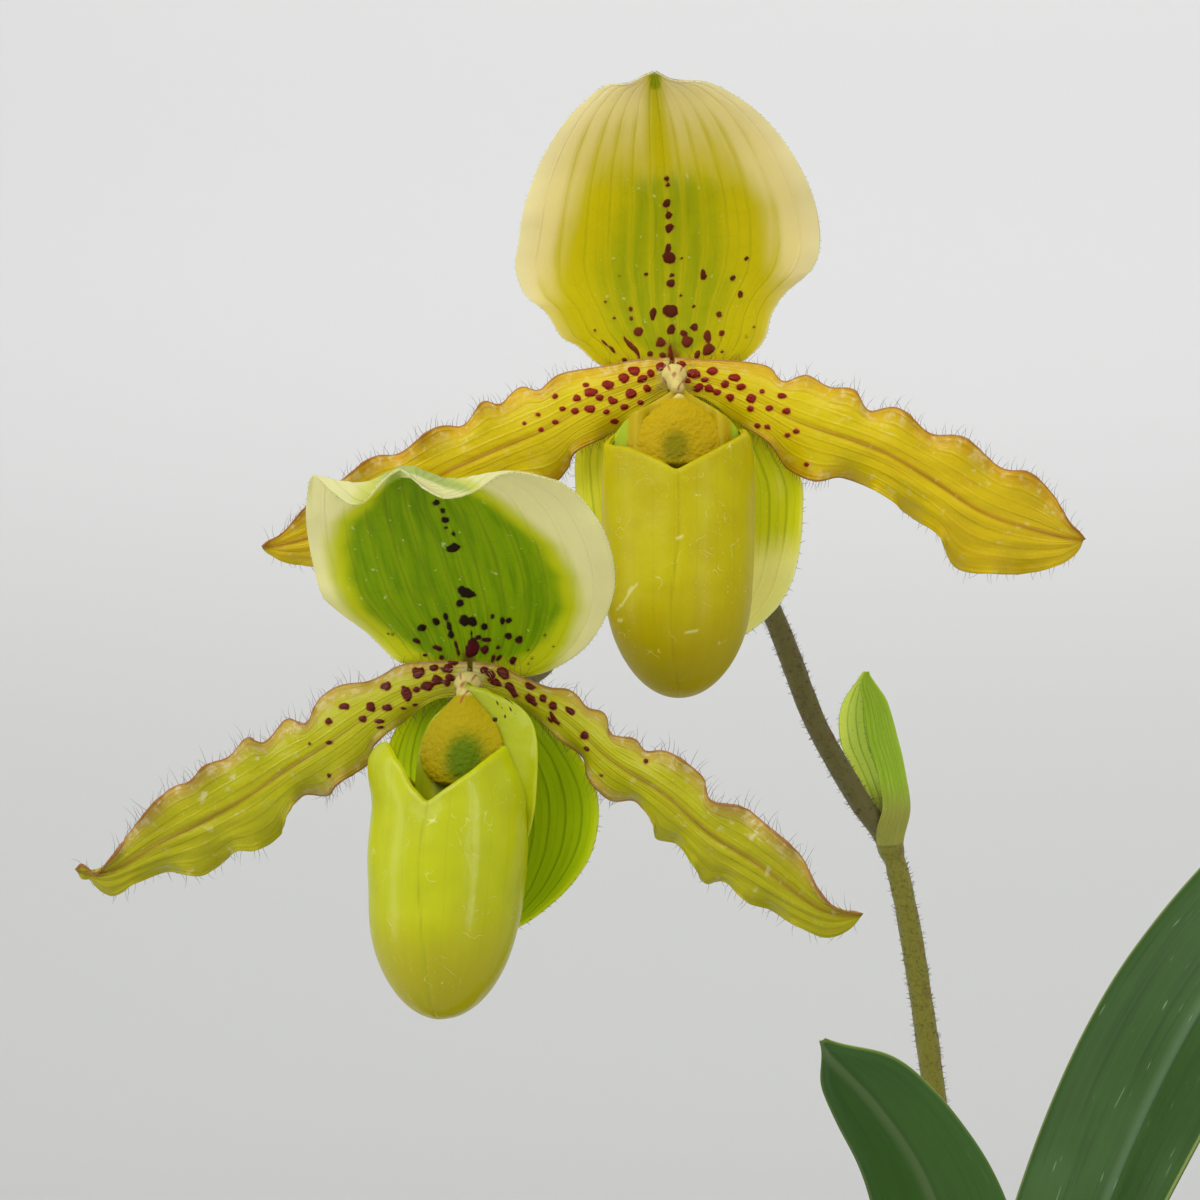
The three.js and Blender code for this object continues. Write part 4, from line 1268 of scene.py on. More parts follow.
@dataclass
class Blade:
    """A sepal or petal: its surface, its relief and its hairs."""

    site: Site
    part: str
    shape: BladeShape
    finish: Finish
    slot: str
    rows: int = 120
    columns: int = 120
    body: float = 0.55  # thickness along the midrib
    edge: float = 0.22  # thickness at the margin
    calm: float = 7.0  # how far the veins' course is smoothed, in rows
    crisp: float = 0.16  # small ruffles on the margin's waves
    groove: float = 0.04  # the veins' depth
    swell: float = 1.0  # how much of the margin's waves it has
    bleed: float = 0.0  # how far each spot runs past its edge
    vein_u: Sequence[float] = (0, 1)
    vein_count: float = 6.0

    def surface(self, u: Grid, v: Grid) -> tuple[Grid, Grid]:
        """Bends the blade's mid-surface.

        Args:
            u: shares across.
            v: shares along.

        Returns:
            The points, and the half-width of each row.
        """
        s = self.shape
        left, right = flowing(s.left, v[:, 0]), flowing(s.right, v[:, 0])
        calm_left, calm_right = soften(left, self.calm), soften(right, self.calm)
        share = ((u + 1) / 2)[..., None]
        stray = np.where(u[..., None] < 0, (left - calm_left)[:, None], (right - calm_right)[:, None])
        flat = calm_left[:, None] * (1 - share) + calm_right[:, None] * share
        flat = flat + stray * ease(0.3, 1.0, np.abs(u))[..., None]
        x, z = flat[..., 0], flat[..., 1]
        mid = along(s.mid, v)
        margin = np.where(u < 0, along(s.margin_left, v), along(s.margin_right, v))
        start = np.where(u < 0, 1.9, 0.0)
        size = self.swell * along(s.wave_size, v)
        phase = 2 * np.pi * s.waves * v + start
        wave = size * np.sin(phase) * np.abs(u) ** 3
        ruffle = self.crisp * size * np.sin(3.3 * phase + 2 * u) * np.abs(u) ** 7
        y = mid + (margin - mid) * u**2 + wave + ruffle - self.site.turn * x
        z = z + along(s.lift, v) * (1 - u**2)
        width = np.linalg.norm(right - left, axis=1)[:, None] / 2 * np.ones_like(u)
        return np.stack([x, y, z], axis=-1) + self.site.centre, width

    def relief(self, u: Grid, v: Grid, mid: Grid, known: dict[str, Grid]) -> tuple[Grid, Grid]:
        """How far the front and the back stand out, in millimetres."""
        number = self.vein_number(u)
        size = self.groove * ease(0.0, 0.15, v) * hump(np.abs(number - np.round(number)), 0, 0.16)
        return -size + 0.1 * ease(-0.1, 0.3, known["spot"]), 1.4 * size

    def vein_number(self, u: Grid) -> Grid:
        """The number of the vein at each share across."""
        numbers = np.linspace(0, self.vein_count, len(self.vein_u))
        return np.sign(u) * np.interp(np.abs(u), self.vein_u, numbers)

    def tints(self, u: Grid, v: Grid, x: Grid, z: Grid) -> dict[str, Grid]:
        """The finish's own fields: what each place is coloured by."""
        return {}

    def build(self) -> None:
        """Builds and dresses the blade, then grows its hairs."""
        u, v = sheet(self.rows, self.columns)
        mid, width = self.surface(u, v)
        x, z = self.site.seen(mid)
        steps = np.linalg.norm(np.diff(mid, axis=0), axis=-1)
        length = np.vstack([np.zeros((1, u.shape[1])), np.cumsum(steps, axis=0)])
        middle = length[:, u.shape[1] // 2][:, None]
        rim = np.minimum((1 - np.abs(u)) * width, middle[-1] - middle)
        known = {
            "spot": within_spots(x, z, self.shape.spots) + self.bleed,
            "rim": rim,
            "rib": np.abs(u) * width,
            "reach": v,
            **self.tints(u, v, x, z),
        }
        thick = self.edge + (self.body - self.edge) * ease(0.0, 2.2, rim)
        relief, facing = self.relief(u, v, mid, known), (self.site.turn, -1, 0)
        skin = blade_skin(mid, thick, facing, self.vein_number(u), length, known, relief)
        name = self.site.named(self.part)
        place(name + "_tissue", skin, self.finish, [name])
        hairs = self.hairs(mid)
        if hairs:
            place(name + "_cilia", hairs, HairFinish(name="plant_hair"))

    def hairs(self, mid: Grid) -> Skin | None:
        """The blade's hairs, where it has any."""
        return None

    def fringe(
        self, mid: Grid, column: int, spacing: float, length: Span, seed: int, part: Span
    ) -> list[Grid]:
        """Spreads hairs along one margin.

        Args:
            mid: the blade's mid-surface.
            column: the margin's column, 0 or -1.
            spacing: millimetres from hair to hair.
            length: the shortest and the longest.
            seed: for their places.
            part: where they start and end, as shares of the margin.

        Returns:
            Their roots, directions and lengths.
        """
        rng = np.random.default_rng(seed)
        line = mid[:, column]
        out = line - mid[:, 3 if column == 0 else -4]
        walked = np.concatenate([[0], np.cumsum(np.linalg.norm(np.diff(line, axis=0), axis=1))])
        span = part[1] - part[0]
        count = int(walked[-1] * span / spacing)
        at = walked[-1] * (part[0] + span * (np.arange(count) + rng.uniform(-0.4, 0.4, count)) / count)
        roots, out = (np.column_stack([np.interp(at, walked, c) for c in way.T]) for way in (line, out))
        ways = unit(out) + rng.normal(0, 0.28, (count, 3))
        return [roots, ways, rng.uniform(*length, count)]

    def grown(self, fringes: Sequence[list[Grid]], width: float, seed: int, droop: float = 0.3) -> Skin:
        """Grows the hairs of several fringes."""
        return thread_skin(*map(np.concatenate, zip(*fringes)), width, seed, droop)


@dataclass
class DorsalSepal(Blade):
    """The broad upper sepal: a green heart, a yellow band and a cream margin, with green veins."""

    vein_u: Sequence[float] = (0, 0.11, 0.25, 0.40, 0.55, 0.72, 0.86, 1)
    vein_count: float = 7.0
    heart: Outline = ((-2, -9, 9), (33, -3, -1))  # the coloured heart: at each height its two sides
    green: tuple[float, float] = (2.0, 6.5)  # millimetres inside it where the green starts and is full
    cream: tuple[float, float] = (-0.4, -3.2)  # and outside it for the cream
    fade: tuple[float, float] = (19.0, 27.0)  # heights where the green and its veins end
    crest: Outline = ()  # the hood's skyline, where it has one
    cilia: tuple[float, float] = (0.12, 0.32)
    brim: tuple[float, float] = (2.0, 3.0)  # shares along where the hood's pale brim starts
    ruddy: tuple[float, float] = (1.5, 3.5)  # how far out its spots turn brick red
    apex: float = 31.2  # the height where its tip turns green

    def tints(self, u: Grid, v: Grid, x: Grid, z: Grid) -> dict[str, Grid]:
        """The green heart, cream margin, yellow streak below the apex, veins and the dark base."""
        height, left, right = np.asarray(self.heart, float).T
        inside = np.minimum(x - np.interp(z, height, left), np.interp(z, height, right) - x)
        core = inside - 2.2 * ease(7.0, 0.0, z) * ease(1.0, 4.0, np.abs(x))
        low, high = self.fade
        below = 1 - ease(low, high, z)
        brim = ease(*self.brim, v) * (1 - 0.75 * hump(x, -8.3, 1.8))
        streak = hump(x + 1.0 + 0.085 * np.maximum(0, z - low), 0, 1.2) * ease(low, low + 5, z)
        paling = 0.95 * np.clip((z - low + 1) / (high - low + 9), 0, 1) * (1 - 0.75 * streak)
        outer = ease(-self.cream[0], -self.cream[1], -inside)
        hem = ease(-4.0, -0.5, inside) * ease(1.0, 5.0, z)
        veined = ease(-1.0, 2.5, inside) * ease(-0.5, 4.0, z) * below * (1 - ease(*self.brim, v))
        return {
            "green": ease(*self.green, core) * below * ease(-1.0, 2.5, z),
            "cream": 1 - (1 - outer) * (1 - brim) * (1 - paling),
            "streak": streak * (1 - 0.4 * ease(high, high + 8, z)),
            "veined": veined + 0.6 * streak,
            "halo": hem * (1 - ease(high, high + 7, z)) * (1 - brim),
            "smudge": hump(x, 0, 1.0) * hump(z, 0.7, 1.6),
            "apex": hump(x, -2.0, 0.8) * ease(self.apex, self.apex + 1.2, z),
            "ruddy": np.maximum(ease(4.5, 2.2, z), ease(*self.ruddy, np.abs(x)) * ease(9, 7, z)),
        }

    def surface(self, u: Grid, v: Grid) -> tuple[Grid, Grid]:
        """Bends the sepal, and raises its hood to its skyline."""
        mid, width = super().surface(u, v)
        if self.crest:
            x, z = self.site.seen(mid)
            bins = np.arange(-20, 20.01, 0.5)
            top = np.array([z[np.abs(x - b) < 0.6].max(initial=-99.0) for b in bins])
            here = np.interp(x, bins[top > -99], top[top > -99])
            want = np.interp(x, *np.asarray(self.crest, float).T)
            inner = ease(here - 3.4, here - 0.5, z)
            mid[..., 2] += (want - here) * inner * ease(-18.5, -17.0, x) * ease(10.5, 8.0, x)
        return mid, width

    def hairs(self, mid: Grid) -> Skin | None:
        """Fine cilia all round the margin."""
        fringes = [self.fringe(mid, c, 0.7, self.cilia, 11 + c, (0.08, 1.0)) for c in (0, -1)]
        return self.grown(fringes, 0.05, 3)


@dataclass
class Synsepal(Blade):
    """The two lower sepals, grown together behind the pouch."""

    rows: int = 84
    columns: int = 64
    calm: float = 6.0
    vein_count: float = 7.0
    pale: tuple[float, float, float] = (-17.5, -26.5, 1.0)  # from and to which height, and how far

    def tints(self, u: Grid, v: Grid, x: Grid, z: Grid) -> dict[str, Grid]:
        """The cream foot, which reaches higher between the veins on its right, and painted light on the
        left side, which lies in the shade of the pouch and petals.
        """
        start, end, most = self.pale
        patch = 0.35 * hump(x, 12.6, 1.1) * hump(z, -14.5, 3.0)
        pale = most * np.clip(ease(start, end, z + 0.25 * (11 - x)) + patch, 0, 1)
        return {"pale": pale, "painted_light": ease(-3.5, -8.0, x)}

    def hairs(self, mid: Grid) -> Skin | None:
        """Sparse cilia on the margin."""
        fringes = [self.fringe(mid, c, 1.1, (0.4, 0.9), 21 + c, (0.1, 1.0)) for c in (0, -1)]
        return self.grown(fringes, 0.07, 5)


@dataclass
class Petal(Blade):
    """A long petal with wavy margins: dark hairs on its upper one, pale warts and a brown midrib."""

    rows: int = 210
    columns: int = 56
    calm: float = 12.0
    groove: float = 0.025
    vein_count: float = 4.5
    seed: int = 31
    ridges: float = 0.1
    hair: float = 1.0  # the length of its hairs, against the upper bloom's

    def tints(self, u: Grid, v: Grid, x: Grid, z: Grid) -> dict[str, Grid]:
        """The warts and the painted glints, most on the upper margin and the outer half, the reddish margin
        and the pale base.
        """
        upper = 0.5 + 0.5 * ease(0.3, 0.8, u)
        return {
            "wart_and_glint": ease(0.18, 0.45, v) * upper * (1 - 0.4 * ease(0.9, 1, v)),
            "blush": np.maximum(ease(0.3, 0.9, u), ease(-0.5, -0.9, u) * hump(v, 0.3, 0.15)),
            "pale": hump(x, 0, 1.9) * hump(z, -1.2, 2.2),
        }

    def relief(self, u: Grid, v: Grid, mid: Grid, known: dict[str, Grid]) -> tuple[Grid, Grid]:
        """Ridges along the outer half, warts and raised spots."""
        front, back = super().relief(u, v, mid, known)
        x, z = mid[..., 0], mid[..., 2]
        ridge = self.ridges * ease(0.3, 0.65, v) * np.sin(2 * np.pi * (3.1 * u + 0.8 * np.sin(5 * v)))
        ridge = ridge * (0.45 + 0.55 * ease(0.2, -0.3, u)) * (1 - 0.6 * np.abs(u)) * ease(1.0, 0.88, v)
        pucker = 0.09 * uneven(x, z, 1.9, self.seed) + 0.05 * uneven(x, z, 0.8, self.seed + 1)
        rib = -0.12 * hump(known["rib"], 0, 0.5)
        return front + ridge + pucker * ease(0.15, 0.4, v) + rib, back - 0.5 * ridge

    def hairs(self, mid: Grid) -> Skin | None:
        """Long dark hairs on the upper margin, shorter ones at the lower base and near the tip."""
        long, short = (0.8 * self.hair, 2.1 * self.hair), (0.7 * self.hair, 1.5 * self.hair)
        upper = self.fringe(mid, -1, 0.62, long, self.seed, (0.03, 0.99))
        base = self.fringe(mid, 0, 0.3, short, self.seed + 1, (0.02, 0.37))
        tip = self.fringe(mid, 0, 0.9, short, self.seed + 2, (0.55, 0.99))
        return self.grown((upper, base, tip), 0.055, self.seed, 0.4)


# ---- pouches ----
@dataclass
class Pouch:
    """The lip: a pouch lofted from level sections, with its mouth's edge at its own height.

    Half-width, centre depth and half-depth are given at heights z, and the pouch closes below its
    waist in a blunt end. The rim is the mouth's height against the angle from the front.
    """

    site: Site
    finish: Finish
    centre_x: float
    half_width: Sequence[float]
    centre_y: Sequence[float]
    half_depth: Sequence[float]
    waist: float
    bottom: float
    drift: float
    rim: Outline
    heights: Sequence[float] = (-5, -8, -13, -20, -27)
    around: int = 140
    down: int = 82
    folded: int = 10  # rows of the lip that is rolled in
    wall: float = 0.62
    lean: float = 0.0  # how far it drifts to the right on its way down
    pinch: float = 0.0  # how far its right shoulder stands in
    belly: float = 0.0  # and its left one out
    claw_x: float = 1.0
    claw_top: float = -3.6
    claw_drop: float = 12.4
    claw_ridge: float = 1.3  # how far its folds stand forward
    claw_reach: tuple[float, float] = (8.0, 7.8)  # left and right
    claw_gold: tuple[float, float] = (5.5, 5.8)  # how far of that is gold
    claw_bend: tuple[float, float] = (1.2, 1.2)  # how slowly each shoulder widens
    dots: Sequence[Sequence[float]] = ()
    scratches: Sequence[Sequence[float]] = ()
    # a painted highlight, a pale line down the pouch's right edge, as strong as this
    edge_highlight: float = 0.0

    def section(self, z: Grid) -> tuple[Grid, Grid, Grid]:
        """Gives the sections at some heights.

        Args:
            z: the heights.

        Returns:
            Half-width, centre depth and half-depth, with the stations' corners rounded off.
        """
        def mixed(values: Sequence[float]) -> Grid:
            """The values at z, averaged over 3 mm of height."""
            shifts = (-1.5, -0.75, 0, 0.75, 1.5)
            return np.mean([np.interp(z + d, self.heights[::-1], values[::-1]) for d in shifts], axis=0)

        drop = np.clip((self.waist - z) / (self.waist - self.bottom), 0, 1)
        close = np.sqrt(1 - drop**1.8)
        depth = mixed(self.half_depth) * close
        return mixed(self.half_width) * close, mixed(self.centre_y) + self.drift * drop, depth

    def rim_height(self, degrees: Grid) -> Grid:
        """The mouth's height at some angles, with the stations' corners rounded off."""
        angles, heights = zip(*self.rim)
        turned_by = [(degrees + d + 180) % 360 - 180 for d in (-2.5, 0, 2.5)]
        return np.mean([np.interp(here, angles, heights) for here in turned_by], axis=0)

    def surface(self) -> tuple[Grid, Grid, Grid]:
        """The wall's mid-surface, with the share down and the angle at each point."""
        degrees = 360 * np.arange(self.around) / self.around - 180
        fold = np.arange(self.folded, 0, -1) / self.folded
        share = np.concatenate([-fold, np.arange(self.down) / self.down])
        s, deg = np.meshgrid(share, degrees, indexing="ij")
        a = np.radians(deg)
        up = np.clip(-s, 0, 1)
        s = np.clip(s, 0, 1)
        top = self.rim_height(deg)
        z = top + (self.bottom - top) * np.sin(s * np.pi / 2)
        w, y, d = self.section(z)
        flare = 1 + 0.02 * (1 - s) ** 6 * ease(112, 88, np.abs(deg)) - 0.07 * np.sin(up * np.pi / 2)
        flare = flare - self.pinch * ease(-14.5, -8.5, z) * ease(10, 75, deg) * ease(170, 130, deg)
        flare = flare + self.belly * ease(-15.0, -9.5, z) * ease(-10, -60, deg) * ease(-170, -130, deg)
        across = self.centre_x + self.lean * (-9 - z) + w * flare * np.sin(a)
        point = np.stack([across, y - d * flare * np.cos(a), z + 0.12 * up], axis=-1)
        return self.site.stand(point), s, deg

    def claw_skin(self) -> Skin:
        """The lip's claw: two shoulders that stand behind the column's shield."""
        v, u = np.meshgrid(np.linspace(0, 1, 44), np.linspace(-1, 1, 56), indexing="ij")
        t = np.clip(self.claw_drop * v / 12.4, 0, 1)
        pairs = (self.claw_reach, self.claw_gold, self.claw_bend)
        reach, gold, bend = (np.where(u < 0, *pair) for pair in pairs)
        across = reach * u * (1 - (1 - 0.97 * t) ** 5) ** bend * (1 - 0.2 * ease(0.6, 1.0, v))
        z = self.claw_top - self.claw_drop * v + 0.9 * (1 - u**2) * (1 - v) ** 2
        ridge = self.claw_ridge * hump(np.abs(across), gold - 0.9, 0.9)
        y = -4.4 - 2.6 * t - ridge + 0.04 * uneven(across, z, 1.6, 3)
        mid = self.site.stand(np.stack([self.claw_x + across, y, z], axis=-1))
        known = {
            "depth": 0 * u,
            "groove": 0 * u + 5,
            "scratch": 0 * u,
            "dot": ease(-0.03, 0.05, within_spots(*self.site.seen(mid), self.dots)),
            "claw": 1 + ease(0.0, 0.5, np.abs(across) - gold),
        }
        return blade_skin(mid, 0.15 + 0.35 * (1 - u**2), (0, -1, 0.2), 6 * u, -9 * v, known)

    def build(self) -> None:
        """Builds and dresses the pouch."""
        mid, s, deg = self.surface()
        rows = len(mid)
        x, z = self.site.seen(mid)
        arc = np.radians(deg) * 8.0
        groove = np.abs(arc + 0.5 * np.sin(0.25 * mid[..., 2]))
        _, y, _ = self.section(np.array([self.bottom]))
        pole = self.site.stand(np.array([self.centre_x, y[0], self.bottom]))
        number = np.linspace(-11, 11, self.around + 1) * np.ones((rows, 1))
        length = np.hstack([-mid[..., 2], -mid[:, :1, 2]])
        vein = np.abs(number[:, :-1] - np.round(number[:, :-1]))
        veins = 0.012 * hump(vein, 0, 0.2) * ease(1, 0.8, s)
        relief = -0.09 * hump(groove, 0, 0.4) * ease(0.0, 0.1, s) - veins
        relief = relief + 0.12 * uneven(arc, mid[..., 2], 6.0, 41) * ease(1.0, 0.9, s) * ease(0.0, 0.1, s)
        # a painted highlight: a pale line where the pouch's right side turns away from the front
        line = self.edge_highlight * hump(deg, 88, 2.2) * ease(0.0, 0.04, s) * (1 - ease(0.25, 0.5, s))
        known = {
            # depth runs down to the pouch's foot, where it is darkened as painted shade
            "depth": ease(-14.0, self.bottom, mid[..., 2] - self.site.centre[2]),
            "groove": groove,
            # pale scratches, and the painted highlight down the right edge
            "scratch": np.maximum(ease(-0.05, 0.08, within_spots(x, z, self.scratches)), line),
            "claw": 0 * s,
            "dot": 0 * s,
        }
        thick = self.wall * (0.6 + 0.4 * ease(0.0, 0.08, s))
        skin = blade_skin(mid, thick, (0, -1, 0), number, length, known, (relief, 0.0), True, pole)
        name = self.site.named("pouch")
        place(name + "_tissue", joined([skin, self.claw_skin()]), self.finish, [name])


# ---- columns ----
def ball(halves: Sequence[float] = (1, 1, 1), at: Sequence[float] = (0, 0, 0), sides: int = 32) -> Skin:
    """A ball stretched to three half-axes and moved to a place."""
    rings = sides // 2
    t, a = np.meshgrid(np.pi * np.arange(1, rings) / rings, angles(sides), indexing="ij")
    points = np.stack([np.sin(t) * np.cos(a), np.sin(t) * np.sin(a), np.cos(t)], axis=-1)
    skin = rings_skin(points, [[0, 0, 1], [0, 0, -1]])
    return Skin(skin.points * halves + at, skin.quads[:, [0, 3, 2, 1]], skin.tris[:, [0, 2, 1]]).outward()


def fused(parts: Sequence[Skin], voxel: float) -> Skin:
    """Melts closed shells into one skin.

    Args:
        parts: shells that run into each other.
        voxel: how fine the new skin is, in millimetres.

    Returns:
        The outer skin of them all.
    """
    rough = joined(parts).mesh("rough")
    rough.transform(([1 / MM, 0, 0, 0], [0, 1 / MM, 0, 0], [0, 0, 1 / MM, 0], [0, 0, 0, 1]))
    body = linked("rough", rough)
    melt = body.modifiers.new("melt", "REMESH")
    melt.mode, melt.voxel_size = "VOXEL", voxel
    soft = body.modifiers.new("soft", "SMOOTH")
    soft.iterations = 3
    done = body.evaluated_get(bpy.context.evaluated_depsgraph_get()).to_mesh()
    points = np.zeros(3 * len(done.vertices))
    done.vertices.foreach_get("co", points)
    corners = np.zeros(len(done.loops), int)
    done.loops.foreach_get("vertex_index", corners)
    skin = Skin(points.reshape(-1, 3), corners.reshape(-1, 4)).outward()
    bpy.data.objects.remove(body)
    bpy.data.meshes.remove(rough)
    return skin


def vertex_normals(skin: Skin) -> Grid:
    """The normals of a skin of quads, at its points."""
    p = skin.points[skin.quads]
    face = np.cross(p[:, 2] - p[:, 0], p[:, 3] - p[:, 1])
    total = np.zeros_like(skin.points)
    for corner in range(4):
        np.add.at(total, skin.quads[:, corner], face)
    return unit(total)


@dataclass
class Column:
    """The column: a stalk with two anthers and the stigma, and the grainy shield in front."""

    site: Site
    finish: Finish
    shield_x: float = 1.1
    shield_levels: Sequence[float] = (-4.0, -4.6, -5.8, -7.4, -8.7, -9.8, -11.1, -12.1, -12.6)
    shield_widths: Sequence[float] = (0.2, 0.95, 2.95, 4.6, 5.6, 5.95, 5.4, 3.7, 0.3)
    boss: tuple[float, float, float] = (-0.3, -10.2, 1.7)  # its place on the shield and its half-width
    stalk_foot: float = -4.9  # the height where the pale stalk meets the shield
    marks: Outline = (
        (-1.2, -2.3, 0.5), (1.2, -2.2, -0.5), (-0.7, -0.8, 0.4), (0.8, -0.9, -0.4), (0.6, -3.3, -0.3),
    )
    hairs: int = 150
    voxel: float = 0.13
    grain: float = 0.3
    grain_height: float = 0.06

    def shield_skin(self) -> Skin:
        """The shield: a domed plate, narrow above and broad below, that leans forward at its foot."""
        skin = ball(sides=96)
        x, y, z = skin.points.T
        ring = np.maximum(np.hypot(x, y), 1e-6)
        t = (1 - z) / 2
        levels = self.shield_levels
        low = np.interp(t, np.linspace(0, 1, len(levels)), levels)
        width = np.interp(low, levels[::-1], self.shield_widths[::-1]) * np.minimum(1, ring / 0.3) ** 0.5
        across = width * x / ring
        round_off = np.sqrt(np.maximum(0, 1 - (0.92 * x / ring) ** 2))
        depth = np.minimum(1.0, 0.35 + 0.16 * width) * y / ring * round_off
        dome = depth * np.where(depth < 0, 1.1, 0.6)
        back = -7.1 + 0.27 * (low + 8.6) + 0.03 * across**2
        skin.points = np.stack([self.shield_x + across, back + dome, low], axis=1)
        return skin

    def build(self) -> None:
        """Melts the parts together, roughens them and dresses them."""
        skin = fused(
            [
                ball((1.3, 1.8, 1.2), (0.1, -0.3, -1.8)),
                ball((1.5, 1.2, 1.4), (0.3 * self.shield_x, -1.9, -1.7)),
                ball((1.0, 1.3, 1.2), (0.5 * self.shield_x, -3.4, -2.6)),
                ball((0.8, 1.2, 0.8), (0.8 * self.shield_x, -4.6, -3.3)),
                self.shield_skin(),
                ball((1.7, 1.5, 1.1), (0, -4.2, -5.4)),
            ],
            self.voxel,
        )
        x, y, z = skin.points.T
        rough = uneven(x, z, self.grain, 51) + 0.5 * uneven(x + 9, z + y, self.grain, 52)
        rise = self.grain_height * rough * ease(-5.2, -6.2, y)
        skin.points = skin.points + vertex_normals(skin) * rise[:, None]
        near = x - 0.4 * self.shield_x
        marks = hump(near, 0, 0.28) * hump(z, -1.7, 0.45)
        for spot_x, spot_z, lean in self.marks:
            marks = marks + hump(near - spot_x + lean * (z - spot_z), 0, 0.17) * hump(z, spot_z, 0.6)
        boss_x, boss_z, boss_size = self.boss
        skin.fields = {
            "boss": hump(x - self.shield_x, boss_x, boss_size) * hump(z, boss_z, 1.25 * boss_size),
            "stalk": ease(self.stalk_foot, self.stalk_foot + 0.9, z),
            "blush": marks * ease(-4.2, -3.4, z),
        }
        skin.points = self.site.stand(skin.points)
        name = self.site.named("column")
        place(name + "_tissue", skin, self.finish, [name])
        self.down(name)

    def down(self, name: str) -> None:
        """Grows the short pale hairs round the stalk's foot, between the petals."""
        rng, count = np.random.default_rng(57), self.hairs
        x, z = rng.normal(0.3 * self.shield_x, 1.4, count), rng.uniform(-3.4, 0.1, count)
        bulge = np.sqrt(np.clip(1 - ((x - 0.4 * self.shield_x) / 1.5) ** 2 - ((z + 1.9) / 2.0) ** 2, 0, 1))
        roots = np.stack([x, -0.3 - 2.3 * bulge - 1.6 * bulge * ease(-1.6, -3.0, z), z], axis=1)
        ways = np.stack([0.5 * x, np.full(count, -1.0), 0.3 * rng.normal(size=count)], axis=1)
        ways = self.site.faced(ways + rng.normal(0, 0.35, (count, 3)))
        hairs = thread_skin(self.site.stand(roots), ways, rng.uniform(0.4, 1.0, count), 0.06, 58, 0.4)
        pale = HairFinish(name="pale_hair", root="#e2d3a2", tip="#cf9f88")
        place(name + "_down", hairs, pale)


# ---- stems and bracts ----
@dataclass
class Stem:
    """A flower stem or ovary: a tube along a curve, in a velvet of short hairs."""

    name: str
    path: Outline
    radii: Sequence[float]
    finish: Finish
    steps: int = 200
    sides: int = 40
    ribs: int = 0
    hair_length: tuple[float, float] = (0.3, 0.7)
    hairs: int = 900
    seed: int = 61
    upper_from: float = 0.0  # the height from which the skin is dark
    node_at: float | None = None  # the height of the ring where the sheath grows

    def build(self) -> None:
        """Builds the stem and its velvet."""
        t = np.linspace(0, 1, self.steps + 1)
        centres = flowing(self.path, t)
        radii = along(self.radii, t)
        a, height = angles(self.sides), centres[:, 2:3]
        relief = 0.05 * uneven(height, 6 * np.sin(a), 2.5, self.seed)
        relief = relief + 0.03 * uneven(height, 9 * np.cos(a), 0.9, self.seed + 1)
        if self.ribs:
            wave = np.cos(self.ribs * a) + 0.3 * np.cos(3 * self.ribs * a)
            relief = relief + 0.07 * radii[:, None] * wave
        if self.node_at is not None:
            away = height - self.node_at
            relief = relief + 0.28 * hump(away, 0, 0.8) - 0.12 * hump(away, -1.6, 0.7)
        skin = tube_skin(centres, radii, self.sides, relief)
        x, y, z = skin.points.T
        skin.fields["upper"] = ease(self.upper_from - 1.5, self.upper_from + 1.5, z)
        middle = np.interp(z, centres[:, 2], centres[:, 0]) if np.all(np.diff(centres[:, 2]) > 0) else x
        skin.fields["flush"] = ease(0.0, 1.2, x - middle)
        place(self.name + "_skin", skin, self.finish, [self.name])
        hair = HairFinish(name="plant_hair")
        place(self.name + "_velvet", self.velvet(centres, radii), hair)

    def velvet(self, centres: Grid, radii: Grid) -> Skin:
        """Grows the short hairs over the tube."""
        rng = np.random.default_rng(self.seed)
        at = rng.uniform(0.01, 0.99, self.hairs) * (len(centres) - 1)
        k = at.astype(int)
        f = (at - k)[:, None]
        middle = centres[k] * (1 - f) + centres[k + 1] * f
        tangent = unit(centres[k + 1] - centres[k])
        way = rng.normal(size=(self.hairs, 3))
        way = unit(way - tangent * (way * tangent).sum(axis=1, keepdims=True))
        girth = np.interp(at, np.arange(len(radii)), radii)[:, None]
        tilt = way + 0.35 * tangent + rng.normal(0, 0.25, (self.hairs, 3))
        lengths = rng.uniform(*self.hair_length, self.hairs)
        return thread_skin(middle + way * girth, tilt, lengths, 0.07, self.seed)


